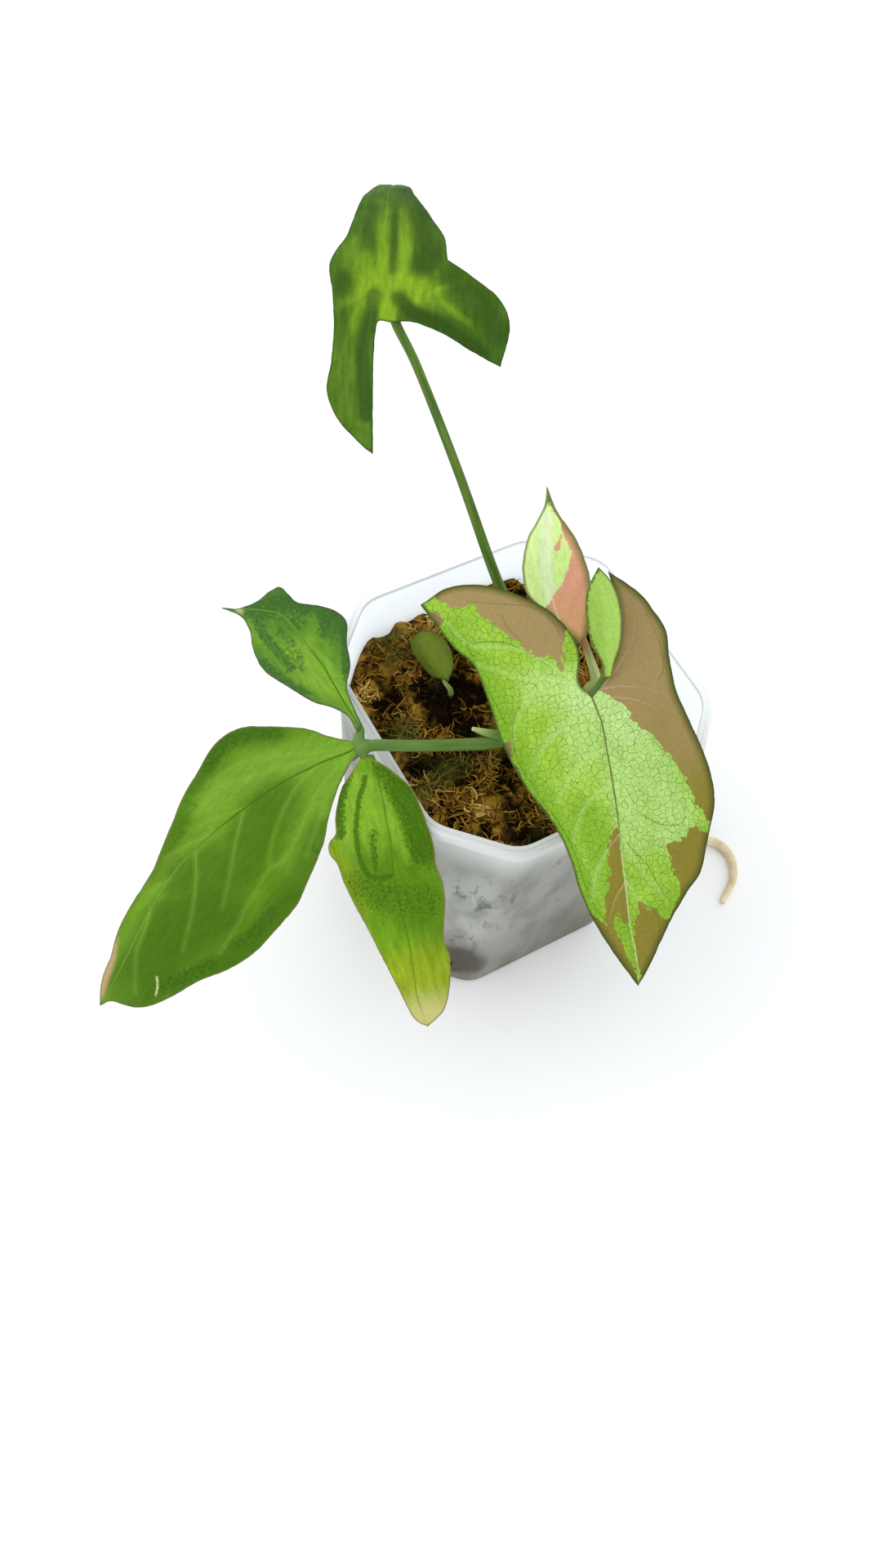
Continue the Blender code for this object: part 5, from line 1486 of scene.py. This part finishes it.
class PLANT_OT_tall_leaf(PieceOperator):
    """Model the tall dark leaf at the upper left and its petiole"""
    bl_idname = "plant.tall_leaf"
    bl_label = "Tall leaf"

    def execute(self, context):
        deep = context.scene.plant_colours.deep_green[:]
        # The tall leaf's dark colour is also the colour of its painted fold shade.
        blade("tall_blade", TALL_FORM, TALL_RUNS, "leaf_tall", leaf_material(
            "leaf_deep", deep, (0.078, 0.165, 0.014), (0.03, 0.08, 0.005), (0.12, 0.22, 0.03),
            (0.17, 0.30, 0.02), (0.05, 0.10, 0.02), light=(0.22, 0.385, 0.016),
            dark=(0.026, 0.062, 0.008), tip=(0.30, 0.36, 0.16), under=(0.12, 0.22, 0.05),
            net_strength=0.03, vein_strength=0.18, rib_strength=0.25, vein_width=0.45,
            streaks=0.55), seed=3.0)
        path = standing(TALL_AT, TALL_PETIOLE, TALL_FORM, 6.0, 1.1)
        stalk_piece("tall_petiole", [swept(path, shape=grooved(0.10, 0.35, 2.0)),
                                     grown(keel(TALL_FORM, "tall_blade", 42.0, 1.0))],
                    "leaf_tall",
                    stalk_material("stalk_olive", (0.050, 0.112, 0.008), (0.10, 0.19, 0.014),
                                   (0.20, 0.24, 0.08)))
        return {"FINISHED"}


class PLANT_OT_front_leaf(PieceOperator):
    """Model the large lime and brown leaf in front, its ear and its petiole"""
    bl_idname = "plant.front_leaf"
    bl_label = "Front leaf"

    def execute(self, context):
        colours = context.scene.plant_colours
        brown = (colours.rust[:], (0.215, 0.182, 0.024), (0.37, 0.30, 0.13), (0.10, 0.10, 0.018),
                 (0.46, 0.31, 0.18), 0.7)
        finish = leaf_material(
            "leaf_lime_and_brown", colours.lime[:], tuple(c * 1.12 for c in colours.lime),
            (0.055, 0.16, 0.010), (0.42, 0.64, 0.20), (0.12, 0.115, 0.03), (0.055, 0.08, 0.015),
            light=colours.lime_pale[:], dark=(0.15, 0.32, 0.012), brown=brown,
            under=(0.36, 0.50, 0.16), rib_end=(0.52, 0.56, 0.28), net_scale=60.0,
            net_strength=0.8, vein_width=0.4, vein_strength=0.6, rim_width=0.8)
        blade("front_blade", FRONT_FORM, FRONT_RUNS, "leaf_front", finish,
              spacing=0.62, seed=1.0)
        ear = leaf_material(
            "leaf_ear", (0.26, 0.44, 0.065), (0.31, 0.50, 0.085), (0.11, 0.24, 0.02),
            (0.34, 0.54, 0.11), (0.29, 0.48, 0.08), (0.12, 0.11, 0.04),
            light=(0.34, 0.53, 0.11), dark=(0.07, 0.15, 0.010), under=(0.34, 0.48, 0.14),
            net_strength=0.28, net_scale=90.0, mottle_scale=130.0, mottle_fade=0.06,
            mottle_spread=0.36, vein_strength=0.25, rib_strength=0.3)
        blade("front_ear", EAR_FORM, EAR_RUNS, "leaf_front", ear, spacing=0.45,
              relief=0.5, seed=2.0)
        foot = FRONT_FORM.point(0.0, 0.0, -0.4)[0]
        first = EAR_FORM.point(0.0, 0.0)[0]
        ear_stalk = [(*foot, 0.8), (*((foot + first) / 2.0), 0.65),
                     (*EAR_FORM.point(1.0, 0.0, -0.5)[0], 0.6),
                     (*EAR_FORM.point(8.0, -0.4, -0.62)[0], 0.42),
                     (*EAR_FORM.point(19.0, -0.4, -0.42)[0], 0.22)]
        path = standing(FRONT_AT, FRONT_PETIOLE, FRONT_FORM, 3.5, 1.3)
        parts = [swept(path, shape=grooved(0.10, 0.45, 1.0)),
                 grown(keel(FRONT_FORM, "front_blade", 64.0, 1.2)),
                 grown(swept(ear_stalk, sides=12, step=0.8))]
        stalk_piece("front_petiole", parts, "leaf_front",
                    stalk_material("stalk_lime", (0.085, 0.19, 0.018), (0.17, 0.32, 0.045),
                                   (0.62, 0.60, 0.40), end=(0.055, 0.125, 0.010)))
        return {"FINISHED"}


class PLANT_OT_left_leaf(PieceOperator):
    """Model the three-part leaf at the left, its petiole and its sheath"""
    bl_idname = "plant.left_leaf"
    bl_label = "Left leaf"

    def execute(self, context):
        green = context.scene.plant_colours.leaf_green[:]
        common = dict(net_strength=0.10, gloss=0.46)
        blade("left_big", BIG_FORM, BIG_RUNS, "leaf_left", leaf_material(
            "leaf_mid", green, (0.105, 0.225, 0.009), (0.05, 0.14, 0.004), (0.20, 0.37, 0.035),
            (0.040, 0.115, 0.004), (0.15, 0.17, 0.05), light=(0.165, 0.33, 0.026),
            dark=(0.036, 0.105, 0.004), tip=(0.44, 0.29, 0.15), under=(0.20, 0.34, 0.09),
            rib_end=(0.15, 0.28, 0.05), scar=(0.42, 0.52, 0.20), vein_width=0.34,
            vein_strength=0.6, mottle_scale=100.0, mottle_fade=0.20, mottle_spread=0.46,
            rib_strength=0.85, streaks=0.3, **common),
            seed=4.0)
        blade("left_upper", UPPER_FORM, UPPER_RUNS, "leaf_left", leaf_material(
            "leaf_upper", (0.11, 0.25, 0.018), (0.135, 0.29, 0.025), (0.06, 0.16, 0.01),
            (0.18, 0.35, 0.04), (0.06, 0.15, 0.008), (0.08, 0.10, 0.05),
            light=(0.17, 0.335, 0.026), dark=(0.038, 0.108, 0.020), tip=(0.46, 0.47, 0.20),
            under=(0.20, 0.34, 0.09), rib_end=(0.13, 0.27, 0.03), mottle_scale=95.0,
            mottle_fade=0.24, mottle_spread=0.50, vein_strength=0.3, streaks=0.5, **common),
            seed=5.0)
        blade("left_lower", LOWER_FORM, LOWER_RUNS, "leaf_left", leaf_material(
            "leaf_lower", (0.12, 0.26, 0.008), (0.15, 0.32, 0.012), (0.05, 0.13, 0.004),
            (0.15, 0.31, 0.012), (0.05, 0.125, 0.006), (0.24, 0.20, 0.06),
            light=(0.20, 0.37, 0.026), yellow=(0.25, 0.34, 0.014), dark=(0.038, 0.112, 0.002),
            tip=(0.50, 0.48, 0.17), under=(0.22, 0.34, 0.09), mottle_scale=130.0,
            mottle_fade=0.26, mottle_spread=0.50, vein_strength=0.15, rib_strength=0.6,
            tip_fade=5.0, streaks=0.5, **common), spacing=0.6, seed=6.0)
        path = standing(LEFT_AT, LEFT_PETIOLE, BIG_FORM, 4.0, 1.4)
        parts = [swept(path, shape=grooved(0.14, 0.45, 1.4)),
                 turned(swept(SHEATH_TIP, sides=12, step=0.8)),
                 grown(keel(BIG_FORM, "left_big", 82.0, 1.3)),
                 grown(keel(UPPER_FORM, "left_upper", 44.0, 1.15,
                            neck=[(-50.6, -4.2, 116.7, 1.9), (-51.2, -2.0, 117.5, 1.75)])),
                 grown(keel(LOWER_FORM, "left_lower", 64.0, 1.1,
                            neck=[(-50.4, -2.4, 116.8, 1.6), (-51.0, -4.2, 117.0, 1.5)])),
                 grown(swept([(-48.4, -3.3, 116.6, 1.5), (-50.6, -3.2, 116.9, 2.2),
                              (-52.6, -3.3, 117.0, 1.5)], step=0.5))]
        stalk_piece("left_petiole", parts, "leaf_left",
                    stalk_material("stalk_mid", (0.080, 0.165, 0.024), (0.12, 0.225, 0.038),
                                   (0.44, 0.53, 0.20)))
        return {"FINISHED"}


class PLANT_OT_back_leaf(PieceOperator):
    """Model the young pale leaf that stands behind, with its salmon side"""
    bl_idname = "plant.back_leaf"
    bl_label = "Back leaf"

    def execute(self, context):
        colours = context.scene.plant_colours
        brown = (colours.pink[:], (0.84, 0.40, 0.27), (0.86, 0.52, 0.32), (0.30, 0.22, 0.07),
                 (0.80, 0.46, 0.32), 0.2)
        finish = leaf_material(
            "leaf_young", colours.pale_leaf[:], (0.66, 0.92, 0.27), (0.52, 0.80, 0.20),
            (0.70, 0.88, 0.42), (0.80, 0.92, 0.62), (0.20, 0.22, 0.07),
            light=(0.83, 0.95, 0.62), brown=brown, tip=(0.09, 0.19, 0.03),
            under=(0.50, 0.62, 0.26), net_strength=0.06, vein_strength=0.2, jag=0.5,
            rib_strength=0.5, rim_width=0.8)
        blade("back_blade", BACK_FORM, BACK_RUNS, "leaf_back", finish, spacing=0.6,
              seed=7.0)
        path = standing(BACK_AT, BACK_PETIOLE, BACK_FORM, 4.0, 1.0)
        stalk_piece("back_petiole", [swept(path, shape=grooved(0.10, 0.5, 2.0)),
                                     grown(keel(BACK_FORM, "back_blade", 40.0, 0.9))],
                    "leaf_back",
                    stalk_material("stalk_pale", (0.38, 0.43, 0.15), (0.52, 0.56, 0.25),
                                   (0.30, 0.20, 0.08), end=(0.26, 0.14, 0.05)))
        return {"FINISHED"}


class PLANT_OT_seedling(PieceOperator):
    """Model the small round seedling leaf in the moss"""
    bl_idname = "plant.seedling"
    bl_label = "Seedling leaf"

    def execute(self, context):
        finish = leaf_material(
            "leaf_seedling", (0.068, 0.10, 0.007), (0.12, 0.165, 0.016), (0.05, 0.08, 0.005),
            (0.18, 0.24, 0.04), (0.14, 0.19, 0.03), (0.07, 0.09, 0.010),
            light=(0.15, 0.20, 0.022), under=(0.16, 0.22, 0.05), net_strength=0.15,
            vein_strength=0.3, rib_strength=0.3)
        blade("seedling_blade", SEEDLING_FORM, SEEDLING_RUNS, "leaf_seedling", finish,
              spacing=0.5, relief=0.7, seed=8.0)
        joint = SEEDLING_FORM.joint
        foot = [(*SEEDLING_AT, SOCKET_FLOOR + 6.0, 0.8), (*SEEDLING_AT, 97.0, 0.8),
                (*joint[:2], joint[2] - 1.0, 0.6),
                (*SEEDLING_FORM.point(4.0, -1.2, -1.0)[0], 0.5)]
        stalk_piece("seedling_stalk", [swept(foot, sides=12, step=0.8),
                                       grown(keel(SEEDLING_FORM, "seedling_blade", 12.0, 0.6))],
                    "leaf_seedling",
                    stalk_material("stalk_seedling", (0.20, 0.27, 0.08), (0.28, 0.34, 0.12),
                                   (0.30, 0.24, 0.10)))
        return {"FINISHED"}


class PLANT_OT_root(PieceOperator):
    """Model the tan root that lies on the ground beside the pot"""
    bl_idname = "plant.root"
    bl_label = "Root"

    def execute(self, context):
        def knobbly(u, around):
            return 1.0 + 0.05 * np.sin(u * 90.0 + around) * np.sin(u * 37.0 + 2.0 * around)
        points, faces, uv, _ = swept(ROOT_PATH, sides=16, step=0.9, shape=knobbly)
        points[:, 2] = np.maximum(points[:, 2], 0.05)
        new_piece("ground_root", points, faces, "root", root_material(), uv=uv)
        return {"FINISHED"}


CAMERA_TURN, CAMERA_RISE, CAMERA_ROLL = -38.24, 60.48, 10.6      # degrees
CAMERA_AIM, CAMERA_AWAY = (0.003, 0.0309, 0.0), 0.4782           # metres
SENSOR_HEIGHT, FOCAL_LENGTH = 36.0, 31.875
FLOOR_SIZE = 6.0


def add_area_light(name, place, target, size, power, colour):
    lamp = bpy.data.lights.new(name, "AREA")
    lamp.shape, lamp.size, lamp.energy, lamp.color = "DISK", size, power, colour
    obj = bpy.data.objects.new(name, lamp)
    bpy.context.scene.collection.objects.link(obj)
    obj.location = place
    way = Vector(target) - Vector(place)
    obj.rotation_euler = way.to_track_quat("-Z", "Y").to_euler()


class PLANT_OT_stage(PieceOperator):
    """Set the pale floor, the soft light and the camera"""
    bl_idname = "plant.stage"
    bl_label = "Stage"

    def execute(self, context):
        scene = context.scene
        fresh_start()
        bpy.ops.mesh.primitive_plane_add(size=FLOOR_SIZE, location=(0.0, 0.0, 0.0))
        floor = context.object
        floor.name = "floor"
        mat, n, shader = new_material("floor_finish")
        place = n.add("ShaderNodeTexCoord").outputs["Object"]
        n.feed(shader.inputs["Base Color"], n.mix(n.noise(place, 9.0, 2.0), (0.96, 0.965, 0.97),
                                                  (0.965, 0.965, 0.965)))
        shader.inputs["Roughness"].default_value = 0.9
        shader.inputs["Specular IOR Level"].default_value = 0.1
        floor.data.materials.append(mat)

        world = bpy.data.worlds.new("soft_white")
        world.use_nodes = True
        back = world.node_tree.nodes["Background"]
        back.inputs["Color"].default_value = (0.96, 0.98, 1.0, 1.0)
        back.inputs["Strength"].default_value = 1.12
        scene.world = world
        add_area_light("window_light", (-0.55, 0.25, 0.75), (0.0, 0.0, 0.1), 1.0, 2.6,
                       (1.0, 0.99, 0.97))

        turn, rise, roll = radians(CAMERA_TURN), radians(CAMERA_RISE), radians(CAMERA_ROLL)
        away = Vector((sin(turn) * cos(rise), -cos(turn) * cos(rise), sin(rise)))
        level = Vector((cos(turn), sin(turn), 0.0))
        up = away.cross(level)
        right = level * cos(roll) + up * sin(roll)
        top = up * cos(roll) - level * sin(roll)
        lens = bpy.data.cameras.new("camera")
        lens.sensor_fit, lens.sensor_height, lens.lens = "VERTICAL", SENSOR_HEIGHT, FOCAL_LENGTH
        lens.clip_start = 0.01
        camera = bpy.data.objects.new("camera", lens)
        scene.collection.objects.link(camera)
        camera.matrix_world = Matrix((right, top, away)).transposed().to_4x4()
        camera.location = Vector(CAMERA_AIM) + away * CAMERA_AWAY
        scene.camera = camera
        scene.view_settings.view_transform = "Standard"
        return {"FINISHED"}


class PLANT_PT_pieces(bpy.types.Panel):
    """The plant's pieces, sizes and colours"""
    bl_idname = "PLANT_PT_pieces"
    bl_label = "Arrowhead plant"
    bl_space_type = "VIEW_3D"
    bl_region_type = "UI"
    bl_category = "Plant"

    def draw(self, context):
        column = self.layout.column(align=True)
        for operator in OPERATORS:
            column.operator(operator.bl_idname)
        for settings in (context.scene.plant_sizes, context.scene.plant_colours):
            box = self.layout.box()
            for key in settings.__annotations__:
                box.prop(settings, key)


OPERATORS = (PLANT_OT_pot, PLANT_OT_moss, PLANT_OT_stem, PLANT_OT_tall_leaf, PLANT_OT_front_leaf,
             PLANT_OT_left_leaf, PLANT_OT_back_leaf, PLANT_OT_seedling, PLANT_OT_root,
             PLANT_OT_stage)
CLASSES = (PlantSizes, PlantColours, *OPERATORS, PLANT_PT_pieces)


def register():
    for cls in CLASSES:
        bpy.utils.register_class(cls)
    bpy.types.Scene.plant_sizes = bpy.props.PointerProperty(type=PlantSizes)
    bpy.types.Scene.plant_colours = bpy.props.PointerProperty(type=PlantColours)


def unregister():
    del bpy.types.Scene.plant_colours
    del bpy.types.Scene.plant_sizes
    for cls in reversed(CLASSES):
        bpy.utils.unregister_class(cls)


def main():
    register()
    build_groups()
    bpy.ops.plant.pot()
    bpy.ops.plant.moss()
    bpy.ops.plant.stem()
    bpy.ops.plant.tall_leaf()
    bpy.ops.plant.front_leaf()
    bpy.ops.plant.left_leaf()
    bpy.ops.plant.back_leaf()
    bpy.ops.plant.seedling()
    bpy.ops.plant.root()
    bpy.ops.plant.stage()


if __name__ == "__main__":
    main()
